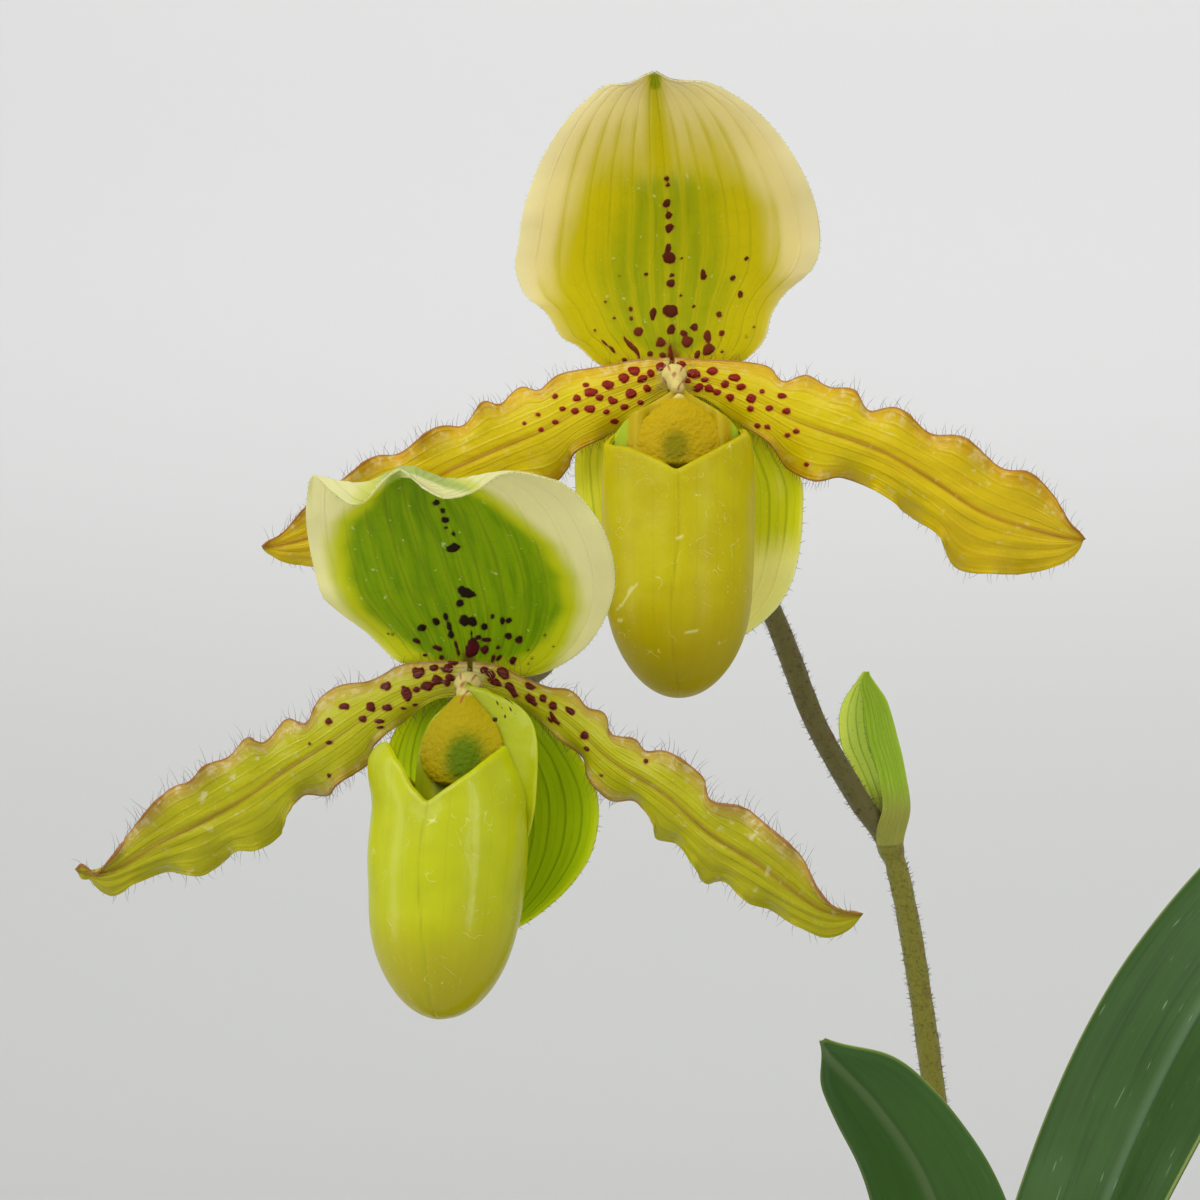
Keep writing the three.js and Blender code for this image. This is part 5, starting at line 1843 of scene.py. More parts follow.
@dataclass
class Sheath:
    """A folded bract that clasps a stem, with nerves, a keel and a downy edge."""

    name: str
    path: Outline
    across: Sequence[float]
    deep: Sequence[float]
    front: Sequence[float]  # degrees that the front lobe reaches round from the keel
    back: Sequence[float]
    keel: float
    finish: Finish
    rows: int = 72
    columns: int = 44
    hairs: int = 34  # on each margin

    def build(self) -> None:
        """Builds the bract and its down."""
        u, v = sheet(self.rows, self.columns)
        centre = flowing(self.path, v[:, 0])[:, None]
        side = np.array([math.cos(self.keel), math.sin(self.keel), 0])
        depth = np.array([-math.sin(self.keel), math.cos(self.keel), 0])
        a = u * np.radians(np.where(u < 0, along(self.front, v), along(self.back, v)))
        fold = 1 + 0.12 * (1 - np.abs(u)) ** 3
        wave = 0.14 * np.sin(9 * v + 4 * u) * np.abs(u) ** 2 * np.sin(np.pi * v)
        sideways = ((along(self.across, v) * fold + wave) * np.cos(a))[..., None]
        deep = ((along(self.deep, v) + wave) * np.sin(a))[..., None]
        mid = centre + side * sideways + depth * deep
        facing = (mid - centre)[self.rows // 3, self.columns // 2]
        number = u * 8
        nerve = 0.05 * hump(np.abs(number - np.round(number)), 0, 0.2)
        rim = np.minimum((1 - np.abs(u)) * 4.5, (1 - v) * 20)
        thick = 0.25 + 0.35 * ease(0, 1.5, rim)
        skin = blade_skin(mid, thick, facing, number, v * 22, {"reach": v}, (nerve, 0.0))
        place(self.name + "_tissue", skin, self.finish, [self.name])
        rng = np.random.default_rng(71)
        roots, ways = [], []
        for column, inner in ((0, 3), (-1, -4)):
            pick = rng.integers(6, self.rows, self.hairs)
            roots.append(mid[pick, column])
            ways.append(unit(mid[pick, column] - mid[pick, inner]) + rng.normal(0, 0.3, (self.hairs, 3)))
        roots, ways = np.vstack(roots), np.vstack(ways)
        down = thread_skin(roots, ways, rng.uniform(0.2, 0.55, len(roots)), 0.045, 72)
        place(self.name + "_down", down, HairFinish(name="plant_hair"))


# ---- leaves ----
@dataclass
class StrapLeafBlade:
    """A strap leaf, keeled below and channelled above, from the crown to its notched tip.

    Width is the half-width, across the direction of the width in
    degrees, fold the rise of each half in degrees, and lean how far the midrib stands off the
    middle of the blade, all from base to tip.
    """

    name: str
    side: Side  # of the fan
    spine: Outline
    width: Sequence[float]
    across: Sequence[float]
    fold: Sequence[float]
    finish: Finish
    rows: int = 150
    columns: int = 34
    thick: float = 0.95
    edge: float = 0.4
    lean: Sequence[float] = (0.0, 0.0)

    def build(self) -> None:
        """Builds and dresses the leaf."""
        u, v = sheet(self.rows, self.columns)
        column = v[:, 0]
        spine = flowing(self.spine, column)
        tangent = unit(np.gradient(spine, axis=0))
        tangent[0] = (0, 0, 1)
        a = np.radians(along(self.across, column))
        level = np.stack([np.cos(a), np.sin(a), 0 * a], axis=1)
        over = unit(level - tangent * (tangent * level).sum(axis=1, keepdims=True))
        upper = np.cross(tangent, over) * self.side.value
        w = along(self.width, v)
        rise = np.tan(np.radians(along(self.fold, v)))
        side = np.sqrt(u**2 + 0.012) - math.sqrt(0.012)
        ripple = 0.35 * np.sin(9 * v + np.where(u < 0, 2, 0)) * u**2 * np.sin(np.pi * v)
        lift = w * rise * (side - 0.2 * u**2) + ripple
        out = w * u + along(self.lean, v) * (1 - u**2)
        mid = spine[:, None] + over[:, None] * out[..., None] + upper[:, None] * lift[..., None]
        steps = np.linalg.norm(np.diff(spine, axis=0), axis=1)
        length = np.concatenate([[0], np.cumsum(steps)])[:, None] * np.ones_like(u)
        rim = np.minimum((1 - np.abs(u)) * w, length[-1:] - length)
        number = u * 9
        groove = np.abs(number - np.round(number))
        relief = -0.03 * hump(groove, 0, 0.25) - 0.28 * hump(u * w, 0, 0.45)
        relief = relief + 0.07 * uneven(u * w, length, 6.0, 81) * (1 - np.abs(u))
        # band marks one side of the midrib, which gets the pale band and its painted sheen
        known = {"rib": np.abs(u) * w, "rim": rim, "reach": v, "band": ease(-0.1, 0.1, u)}
        thick = self.edge + (self.thick - self.edge) * ease(0.0, 1.6, rim)
        under = 0.55 * hump(u * w, 0, 0.7) * (1 - ease(0.5, 1.0, v))
        skin = blade_skin(mid, thick, upper[self.rows // 2], number, length, known, (relief, under))
        place(self.name + "_blade", skin, self.finish, [self.name])


# ---- crown, bark and pot ----
@dataclass
class Crown:
    """The foot of the fan: leaf bases that clasp each other, in the remains of old sheaths."""

    finish: Finish
    long: float = 9.8
    short: float = 6.0
    bottom: float = 82.0
    top: float = 90.0
    turn: float = FAN_TURN
    rows: int = 40
    sides: int = 144
    scale_count: int = 7

    def build(self) -> None:
        """Builds the flattened foot with its ribbed bases and torn paper."""
        t, a = np.meshgrid(np.linspace(0, 1, self.rows), angles(self.sides), indexing="ij")
        rib = 0.25 * np.abs(np.sin(4.5 * a)) + 0.1 * uneven(12 * np.cos(a), 12 * np.sin(a) + 5 * t, 2.0, 91)
        girth = (0.955 + 0.03 * np.sin(np.pi * t)) * (1 - 0.02 * rib)
        z = self.bottom + (self.top - self.bottom) * t
        rings = np.stack([self.long * girth * np.cos(a), self.short * girth * np.sin(a), z], axis=-1)
        base = rings_skin(turned(rings, self.turn), [[0, 0, self.bottom], [0, 0, self.top]]).outward()
        base.fields = {"paper": np.full(len(base.points), 0.2)}
        place("crown_bases", joined([base, *self.scales()]), self.finish, ["crown"])

    def scales(self) -> list[Skin]:
        """Torn papery scales round the foot."""
        scales = []
        u, v = sheet(15, 19)
        for k in range(self.scale_count):
            start = 2 * math.pi * k / self.scale_count + 0.3
            a = start + 0.5 * u * (1 - 0.75 * v**2)
            out = 1.0 + 0.015 * v + 0.012 * np.sin(7 * u + k) * v
            height = self.bottom + 3.5 + (3.4 + 1.2 * math.sin(3 * k)) * v + 0.25 * np.sin(11 * u + k) * v
            points = np.stack([self.long * out * np.cos(a), self.short * out * np.sin(a), height], axis=-1)
            points = turned(points, self.turn)
            facing = (math.cos(start + self.turn), math.sin(start + self.turn), 0)
            skin = blade_skin(points, 0.16 + 0 * u, facing, u, v, {"paper": 0.8 + 0 * u})
            skin.fields.pop("face")
            skin.tissue = None
            scales.append(skin)
        return scales


@dataclass
class Bark:
    """Chips of fir bark round the crown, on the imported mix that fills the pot."""

    finish: Finish
    top: float = 86.0
    chips: int = 190
    floor: float = 5.4
    foot_radius: float = 28.0
    room: float = 46.2  # the radius that is free inside the pot at the top
    chip_turn: float = 2.39996  # from one chip to the next, so that they spread evenly
    fan_turn: float = 0.436
    bed_sides: int = 144

    def chip(self, centre: Grid, size: Grid, turns: Sequence[float], seed: int) -> Skin:
        """Breaks one chip.

        Args:
            centre: its middle.
            size: its length, width and thickness.
            turns: its turns about X, Y and Z.
            seed: for its broken faces.

        Returns:
            The chip, a squared-off lump with uneven faces.
        """
        skin = ball(sides=18)
        p = skin.points
        p = np.sign(p) * np.abs(p) ** 0.45
        p = p / np.abs(p).max(axis=1, keepdims=True) ** 0.35
        x, y, z = 2 * p.T
        broken = [uneven(y, z, 0.9, seed), uneven(x, z, 0.9, seed + 1), 0.8 * uneven(x, y, 0.8, seed + 2)]
        p = (p + 0.22 * np.column_stack(broken)) * size / 2
        for axis, angle in enumerate(turns):
            c, s = math.cos(angle), math.sin(angle)
            b, d = (axis + 1) % 3, (axis + 2) % 3
            p[:, [b, d]] = np.column_stack([c * p[:, b] - s * p[:, d], s * p[:, b] + c * p[:, d]])
        skin.points = p + centre
        return skin

    def build(self) -> None:
        """Fills the pot and lays the chips."""
        rng = np.random.default_rng(7)
        bed_top = self.top - 2.2
        side, bed = np.linspace(30.0, 42.5, 10), np.linspace(42.5, 11.0, 26)
        radii = [self.foot_radius - 2, self.foot_radius, *side, *bed]
        heights = [self.floor, 7.4, *np.linspace(9, bed_top - 1.2, 10), *np.full(26, bed_top)]
        bed = lathed(radii, heights, self.bed_sides)
        x, y, z = bed.points.T
        rough = ease(bed_top - 2, bed_top, z) * (0.8 * uneven(x, y, 2.5, 95) + 0.4 * uneven(x, y, 0.9, 96))
        bed.points[:, 2] += rough * ease(44, 40, np.hypot(x, y))
        bed.fields = {"chip": np.full(len(x), 0.12)}
        chips = [bed]
        for k in range(self.chips):
            r = 12.5 + 29.5 * math.sqrt((k + 0.5) / self.chips)
            a = k * self.chip_turn + rng.uniform(-0.3, 0.3)
            size = np.array([rng.uniform(6, 13), rng.uniform(4, 7.5), rng.uniform(2, 4)])
            turns = [rng.uniform(-0.35, 0.35), rng.uniform(-0.35, 0.35), rng.uniform(0, np.pi)]
            z = self.top - 1.5 + rng.uniform(0, 3.2)
            reach = math.hypot(*(size[:2] / 2))
            r = min(r, self.room - 0.4 - 0.8 * reach)
            foot = 1.0 + max(0.0, 0.62 * reach - 1.5)
            c, s = math.cos(a - self.fan_turn), math.sin(a - self.fan_turn)
            clear = 1 / math.sqrt((c / (9.9 + foot)) ** 2 + (s / (6.1 + foot)) ** 2)
            r = max(r, clear + 1.0)
            chip = self.chip(np.array([r * math.cos(a), r * math.sin(a), z]), size, turns, 100 + 3 * k)
            chip.fields = {"chip": np.full(len(chip.points), rng.uniform(0, 1))}
            chips.append(chip)
        place("potting_bark_chips", joined(chips), self.finish, ["potting_bark"])


@dataclass
class ClayPot:
    """A thrown clay pot with a rim band, a rounded lip and four drain holes in its floor."""

    finish: Finish
    height: float = 96.0
    base_radius: float = 35.0
    rim_radius: float = 52.0
    wall: float = 5.0
    band: float = 17.0
    drain: float = 4.0
    drain_ring: float = 19.0
    sides: int = 128

    def profile(self) -> tuple[Grid, Grid]:
        """The section from the middle of the base, round the lip and back to the middle of the floor."""
        top, rim, base, wall = self.height, self.rim_radius, self.base_radius, self.wall
        band_z, body_top, inner = top - self.band, rim - 4, rim - wall
        corners = [
            (0.6, 0.0, 0.0), (base - 1.4, 0.0, 0.8), (base, 1.2, 1.0), (body_top, band_z - 1.6, 0.7),
            (rim - 0.5, band_z, 0.9), (rim, band_z + 2.5, 0.8), (rim + 0.6, top - 1.6, 1.4),
            (rim - 1.4, top, 1.5), (inner + 1.4, top, 1.4), (inner, top - 1.8, 1.4),
            (body_top - wall + 0.6, band_z, 2.0), (base - wall + 0.6, wall + 2, 1.6),
            (base - wall - 2.2, wall, 1.6), (0.6, wall, 0.0),
        ]
        out = []
        for k, (r, z, fillet) in enumerate(corners):
            here = np.array([r, z])
            if not fillet:
                out.append(here)
                continue
            before = np.array(corners[k - 1][:2]) - here
            after = np.array(corners[k + 1][:2]) - here
            reach = min(fillet, 0.45 * np.linalg.norm(before), 0.45 * np.linalg.norm(after))
            start, end = here + unit(before) * reach, here + unit(after) * reach
            for s in np.linspace(0, 1, 5):
                out.append(start * (1 - s) ** 2 + here * 2 * s * (1 - s) + end * s**2)
        dense = []
        for p, q in zip(out, out[1:]):
            count = max(1, int(np.linalg.norm(q - p) / 1.5))
            dense += [p + (q - p) * s / count for s in range(count)]
        dense.append(out[-1])
        r, z = np.array(dense).T
        return r, z

    def build(self) -> None:
        """Throws the pot, drills it and dresses it."""
        r, z = self.profile()
        skin = lathed(r, z, self.sides)
        x, y, z = skin.points.T
        a = np.arctan2(y, x)
        radius = np.hypot(x, y)
        rings = 0.07 * np.sin(2 * np.pi * z / 3.1 + 0.6 * np.sin(2 * a))
        rings = rings + 0.1 * uneven(26 * np.cos(a), 26 * np.sin(a) + z, 9, 111)
        rings = rings * ease(12, 25, radius) * ease(1.0, 4.0, z) * ease(self.height, self.height - 4, z)
        factor = 1 + rings / np.maximum(radius, 1)
        skin.points = np.stack([x * factor, y * factor, z], axis=1)
        skin.fields = {"damp": ease(70, 20, z) * 0.6 + 0.35 * hump(z, 79, 9) + 0.3 * ease(88, 96, z)}
        pot = place("pot_clay", skin, self.finish, ["pot"])
        reach = [self.drain + 0.7, self.drain, self.drain, self.drain + 0.7]
        levels = [-0.7, 0.6, self.wall - 0.6, self.wall + 0.7]
        for k in range(4):
            turn = math.pi * (0.25 + k / 2)
            drill = lathed(reach, levels, 40)
            spot = np.array([math.cos(turn), math.sin(turn), 0])
            drill.points = drill.points + self.drain_ring * spot
            cutter = linked("drill", drill.mesh("drill"))
            cut = pot.modifiers.new("drain", "BOOLEAN")
            cut.operation, cut.solver, cut.object = "DIFFERENCE", "EXACT", cutter
            result = pot.evaluated_get(bpy.context.evaluated_depsgraph_get())
            drilled = bpy.data.meshes.new_from_object(result)
            pot.modifiers.clear()
            pot.data = drilled
            bpy.data.objects.remove(cutter)
        pot.data.name = pot.name


# ---- this plant's own sizes ----
PETAL_BEND = {
    "mid": (0.05, -1.2, -2.6, -3.8, -4.2, -3.2),
    "margin_left": (0.05, -0.5, -1, -2, -2.5, -2.6),
    "margin_right": (0.05, 0.5, -1.5, -4, -5, -3.6),
    "wave_size": (0, 0.7, 1.2, 1.2, 0.9, 0.1),
}
SYNSEPAL_BEND = {
    "mid": (1.25, 1.4, 2.8, 3.2, 2.6, 1.2),
    "margin_left": (1.25, 2.2, 1.6, 1, 0.6, 0.4),
    "margin_right": (1.25, 2.2, 1.4, 0.4, 0.2, 0.4),
    "waves": 2.5,
    "wave_size": (0, 0.2, 0.5, 0.5, 0.3, 0),
}
UPPER_DORSAL = BladeShape(
    left=(
        (-1.4, -1.3), (-5.1, -0.9), (-8.6, -0.1), (-11.1, 2.1), (-12.8, 3), (-14.8, 6.1), (-17.2, 8.2),
        (-18.4, 11.6), (-18, 14.3), (-17.3, 18.5), (-15.1, 24.2), (-11.8, 28.9), (-9.9, 30.6), (-8.1, 31.9),
        (-5.2, 32.1), (-3.4, 32.9), (-2.2, 33.3),
    ),
    right=(
        (1.4, -1.3), (5.2, -1), (8.5, 0.3), (10.8, 2.7), (11.7, 5.7), (13.1, 8), (16.6, 11.3), (17.4, 14.4),
        (16.4, 19.9), (13, 25.9), (10.1, 29), (7.3, 30.9), (4.4, 32.2), (0.2, 32.4), (-1.3, 33.0),
        (-2.0, 33.35),
    ),
    mid=(1.25, 1.3, 2, 1, -1.2, -3.2),
    margin_left=(1.25, 2.2, 4.2, 3, 0, -3.4),
    margin_right=(1.25, 2.2, 4.2, 3, 0, -3.4),
    waves=4.5,
    wave_size=(0, 0.5, 1, 0.8, 0.4, 0),
    spots=(
        (-0.7, 21.4, 0.28), (-0.5, 20.7, 0.23), (-0.6, 18.5, 0.47), (-0.4, 17.1, 0.4), (-0.3, 15.6, 0.51),
        (-0.4, 13.4, 0.4), (-0.3, 12.1, 0.62), (-0, 10.1, 0.26), (-0.1, 9.1, 0.42), (-0.1, 5.9, 0.93, 0.7),
        (-0.1, 3.7, 0.47), (-0.1, 1, 0.23, 0.93), (3.5, 10.1, 0.4, 0.62), (8.6, 12, 0.26), (7, 9.8, 0.31),
        (7.9, 7.8, 0.26, 0.4), (5.4, 5.5, 0.35), (2.5, 4.1, 0.42), (5.7, 3.3, 0.31), (4, 3, 0.42, 0.51),
        (1.7, 2.3, 0.67), (1.4, 3.3, 0.35), (4.2, 1.4, 0.62, 0.73, 35), (5.8, 1.2, 0.17),
        (2.9, 0.8, 0.23, 0.47, 20), (-1.3, 2.3, 0.54), (-2.2, 5.6, 0.4, 0.7), (-4.8, 6.1, 0.23),
        (-4.7, 5, 0.2), (-3.9, 3.5, 0.42), (-4.6, 1.7, 0.26, 1.4, -38), (-7.8, 2.2, 0.14, 0.47, -40),
        (-6.9, 1.4, 0.14, 0.47, -40), (-5.5, 0.2, 0.23), (-2.5, 1, 0.28), (-1, 0.8, 0.35), (-3, 10.2, 0.2),
        (-6.1, 9.9, 0.14), (-7.7, 6.9, 0.14), (-6.7, 5.1, 0.15), (-8.9, 3.6, 0.14), (1.1, 12.1, 0.15),
        (1, 7.7, 0.15), (2.5, 6.4, 0.16), (8.6, 2.9, 0.15), (9.5, 4.1, 0.14),
    ),
)
UPPER_SYNSEPAL = BladeShape(
    left=(
        (-1.1, -2.1), (-3.7, -2.9), (-8.4, -5.5), (-11.1, -10.1), (-11.3, -14.5), (-10.7, -19.5),
        (-9.5, -24.2), (-7.6, -28.3), (-4.3, -31.6), (0.2, -33.4),
    ),
    right=(
        (1.2, -2.1), (4.7, -2.8), (9.7, -5.7), (13.5, -10.8), (15.1, -14), (15.2, -17.8), (14.5, -23.3),
        (13.1, -27.1), (10.7, -30), (7.2, -32.3), (2, -33.5),
    ),
    **SYNSEPAL_BEND,
)
UPPER_PETAL_LEFT = BladeShape(
    left=(
        (-0.5, -3.7), (-3.3, -5.5), (-7.8, -8.7), (-11.5, -10.8), (-12.1, -12.3), (-13.8, -14),
        (-18.3, -14.4), (-20.6, -16.1), (-25.3, -17.2), (-28.2, -19.6), (-33.4, -21.6), (-38.1, -23.7),
        (-42.4, -23.7), (-45.1, -23.3), (-47.0, -22.3), (-47.7, -21.6),
    ),
    right=(
        (-0.3, 0.5), (-3.7, 0.3), (-7.8, -0.4), (-13.4, -1.5), (-15.5, -3.2), (-17.6, -2.9), (-20.2, -4.9),
        (-21.9, -4.6), (-24.2, -7.3), (-27.3, -7.6), (-31.8, -10.7), (-34.4, -11), (-37.7, -13.3),
        (-42.3, -16.7), (-45.5, -20), (-47.1, -20.9), (-47.7, -21.5),
    ),
    waves=6.5,
    **PETAL_BEND,
    spots=(
        (-1.3, -0.6, 0.47), (-4.4, -1, 0.58, 0.42), (-5.6, -1.9, 0.58, 0.47), (-7.5, -2.8, 0.52, 0.41),
        (-3.5, -2, 0.47, 0.35), (-2.5, -1.4, 0.35), (-2.9, -3.1, 0.35), (-4.8, -3.8, 0.58, 0.47),
        (-6.9, -4.5, 0.52, 0.41), (-5.6, -5.2, 0.35, 0.29), (-6.7, -6.9, 0.35, 0.29),
        (-9.3, -3.6, 0.58, 0.42), (-9.6, -5.4, 0.47, 0.35), (-11.1, -4.3, 0.41, 0.3),
        (-11.3, -5.7, 0.35, 0.28), (-12.8, -5.5, 0.3, 0.23), (-13.6, -7, 0.28, 0.21),
        (-15.3, -7.9, 0.23, 0.19), (-13.6, -4.1, 0.23), (-8.4, -4.2, 0.35, 0.28), (-7.7, -5.8, 0.28, 0.23),
        (-3.7, -4.7, 0.3, 0.23), (-15.6, -6.2, 0.19, 0.15), (-17.2, -7.2, 0.16, 0.14),
        (-10, -2.8, 0.26, 0.2),
    ),
)
UPPER_PETAL_RIGHT = BladeShape(
    left=(
        (0.5, -3.7), (3.5, -4.2), (7.4, -6.9), (11.2, -9.6), (13.5, -12.5), (16.4, -14), (19.6, -13.5),
        (24.5, -15.8), (28.3, -18.6), (30.6, -20.4), (32.7, -24), (37.6, -24.7), (43.1, -24.1),
        (45.9, -22.6), (46.8, -21.6), (47.2, -20.9),
    ),
    right=(
        (0.3, 0.5), (3.8, 0.3), (7.3, 0.1), (11.2, -0.6), (12.9, -2.3), (15.5, -1.6), (18.3, -3),
        (20.9, -3.4), (22.6, -5.8), (25.7, -5.5), (29.7, -8.6), (32.9, -8.9), (37.8, -12.6), (40.6, -13.1),
        (43.5, -15.6), (45.4, -18.8), (46.7, -20.1), (47.2, -20.8),
    ),
    waves=7,
    **PETAL_BEND,
    spots=(
        (1, -0.3, 0.47, 0.35), (2.5, -1.4, 0.58, 0.42), (4.7, -1.2, 0.54, 0.4), (7.3, -1.9, 0.54, 0.37),
        (6.1, -2.6, 0.42, 0.33), (8, -3, 0.47, 0.35), (3.1, -3, 0.49, 0.4), (4.4, -3.1, 0.4, 0.33),
        (5.3, -3.5, 0.35, 0.28), (6.8, -4.1, 0.42, 0.35), (9.3, -4.3, 0.51, 0.4), (9.2, -5.4, 0.35, 0.28),
        (12.8, -4.1, 0.4, 0.28), (11.3, -5.4, 0.37, 0.3), (13.4, -5.8, 0.4, 0.3), (10, -7.4, 0.28, 0.23),
        (11.1, -7.6, 0.3, 0.23), (14.5, -8.1, 0.3, 0.21), (13.5, -8.5, 0.28, 0.21),
        (15.7, -11.9, 0.21, 0.19), (3.8, -2.1, 0.35, 0.26), (10.5, -3.5, 0.23, 0.19),
        (1.8, -2.2, 0.3, 0.23),
    ),
)
FRONT_DORSAL = BladeShape(
    left=(
        (-1.2, -0.9), (-3.4, -0.5), (-5.8, 0.3), (-8.1, 0.7), (-11.3, 3.7), (-14.4, 6.1), (-16.1, 7.8),
        (-17, 11.1), (-17.5, 15), (-17.3, 17.8), (-16.5, 19.5), (-14.5, 18.6), (-11.5, 17.3), (-9, 18.7),
        (-7, 19.3), (-5.6, 18.7),
    ),
    right=(
        (1.2, -0.9), (4.6, -1), (8, -0.5), (12, 1.8), (14.1, 4.4), (15.5, 7.9), (15.6, 10.7), (14.4, 14.8),
        (11.6, 18.5), (8.9, 20.1), (6.2, 20.7), (3.8, 20.4), (1.2, 18.8), (-1.4, 18), (-4.3, 18.3),
    ),
    mid=(1.25, 1, -3.6, -10, -17, -20.2),
    margin_left=(1.25, 1.5, -2, -8, -15.5, -20.5),
    margin_right=(1.25, 1.5, -4, -11, -18, -20.5),
    waves=3.5,
    wave_size=(0, 0.3, 0.6, 0.6, 0.3, 0),
    lift=(0, 0, 0, 0, 0.5, 0),
    spots=(
        (-3.5, 18.1, 0.45, 0.28), (-2.9, 17.3, 0.33, 0.27), (-2.7, 16.4, 0.42, 0.36), (-2.55, 15.4, 0.2),
        (-1.7, 14.7, 0.2, 0.36, -25), (-1.7, 13.2, 0.74, 0.54, -15), (-0.3, 8.3, 0.98, 0.54, 25),
        (-1, 7.2, 0.43), (-0.5, 5.3, 0.54, 0.54), (0.3, 5.3, 0.54, 0.54), (0.3, 2.4, 0.71, 1.09, 8),
        (0.2, 3.9, 0.13, 0.33), (-3.7, 5.3, 0.43), (-2.6, 5.8, 0.28, 0.49, -12),
        (-2.2, 4.8, 0.3, 0.54, -12), (-2, 3.9, 0.33, 0.43), (-5.1, 4.5, 0.43), (-5.7, 3.1, 0.49, 0.28, 35),
        (-3.5, 2.4, 0.54, 0.3, 25), (-1.5, 2.7, 0.22, 0.49, -15), (-4.8, 1.5, 0.24, 0.15), (-3, 1.3, 0.26),
        (-1.2, 1.9, 0.15, 0.43, -15), (2.5, 5.8, 0.25), (3.5, 5.3, 0.27, 0.43), (4.2, 5.4, 0.37, 0.3),
        (1.6, 4.7, 0.36), (1, 3.5, 0.28), (1.8, 3.3, 0.54, 0.26), (3.1, 2.4, 0.22), (4.2, 3.6, 0.43, 0.39),
        (5.3, 3.3, 0.37, 0.48, -20), (1.6, 2.1, 0.43, 0.5), (2.6, 1.2, 0.2, 0.43, 18),
        (3.2, 1.3, 0.2, 0.43, 40), (4.8, 0.9, 0.39, 0.5, 15), (8.2, 3.7, 0.15), (9.1, 2.5, 0.13),
        (6.4, 2.1, 0.13), (6.8, 1.2, 0.13), (6.4, 0.6, 0.12), (-8.3, 3.8, 0.13), (-8.8, 3.9, 0.1),
    ),
)
FRONT_SYNSEPAL = BladeShape(
    left=(
        (-1.1, -2.2), (-3.4, -2.9), (-7.3, -5.3), (-9.6, -10.2), (-9.7, -15.6), (-8.6, -21), (-6, -25.2),
        (-2.1, -27.8), (0.6, -28.4),
    ),
    right=(
        (1.1, -2.2), (4.6, -2.9), (8.9, -6.1), (12.8, -11), (13.9, -14.7), (13.3, -19.3), (11.4, -22.7),
        (8.5, -25.7), (5.3, -27.9), (2.8, -28.5),
    ),
    **SYNSEPAL_BEND,
)
FRONT_PETAL_LEFT = BladeShape(
    left=(
        (-0.4, -3), (-3.8, -3.5), (-7.5, -6), (-10.6, -8.6), (-11.1, -10.3), (-14.7, -12.9), (-15.6, -14),
        (-18.5, -14.1), (-20, -15.9), (-21.2, -18.5), (-23.7, -20.1), (-25.7, -20.2), (-29.6, -22.9),
        (-33.7, -22.6), (-37, -23.8), (-40.1, -25.4), (-42.0, -24.2), (-42.5, -23.6), (-43.4, -23.5),
        (-44.1, -22.8),
    ),
    right=(
        (-0.3, 0.7), (-4.4, 0.7), (-7.5, 0.3), (-10.9, -1.4), (-14.4, -2), (-16.9, -3.7), (-18.1, -6),
        (-20.2, -5.7), (-22.9, -8.2), (-24.4, -7.6), (-26.7, -9.8), (-29.2, -10.7), (-30.9, -12.4),
        (-33.4, -13.5), (-37.2, -17.5), (-40.2, -21.4), (-41.9, -23.0), (-42.7, -22.3), (-43.5, -21.9),
        (-44.1, -22.6),
    ),
    waves=7.5,
    **PETAL_BEND,
    spots=(
        (-5.6, -0.6, 0.71, 0.5), (-3.8, 0.1, 0.48, 0.35), (-9, -2.1, 0.61, 0.46),
        (-6.9, -2.8, 0.5, 0.76, -8), (-5.8, -2.3, 0.37, 0.3), (-4.6, -1.8, 0.65, 0.43, -10),
        (-3.6, -1.3, 0.54, 0.54), (-2.4, -0.1, 0.54, 0.54), (-1.7, 0.7, 0.54, 0.39),
        (-2.1, -1.1, 0.48, 0.33), (-2.5, -1.6, 0.37), (-10.7, -4.2, 0.59, 0.5), (-8.9, -4.3, 0.5, 0.33),
        (-11.6, -5.5, 0.43, 0.33), (-9.8, -5.7, 0.43, 0.22), (-9.8, -6.4, 0.33, 0.17),
        (-13.5, -4.3, 0.5, 0.33), (-15.3, -5.9, 0.33), (-15.3, -8.1, 0.33, 0.2), (-17.4, -8.2, 0.13),
        (-15.3, -11.6, 0.2), (-6, -3.9, 0.26, 0.13), (-7.2, -4.3, 0.28, 0.11),
    ),
)
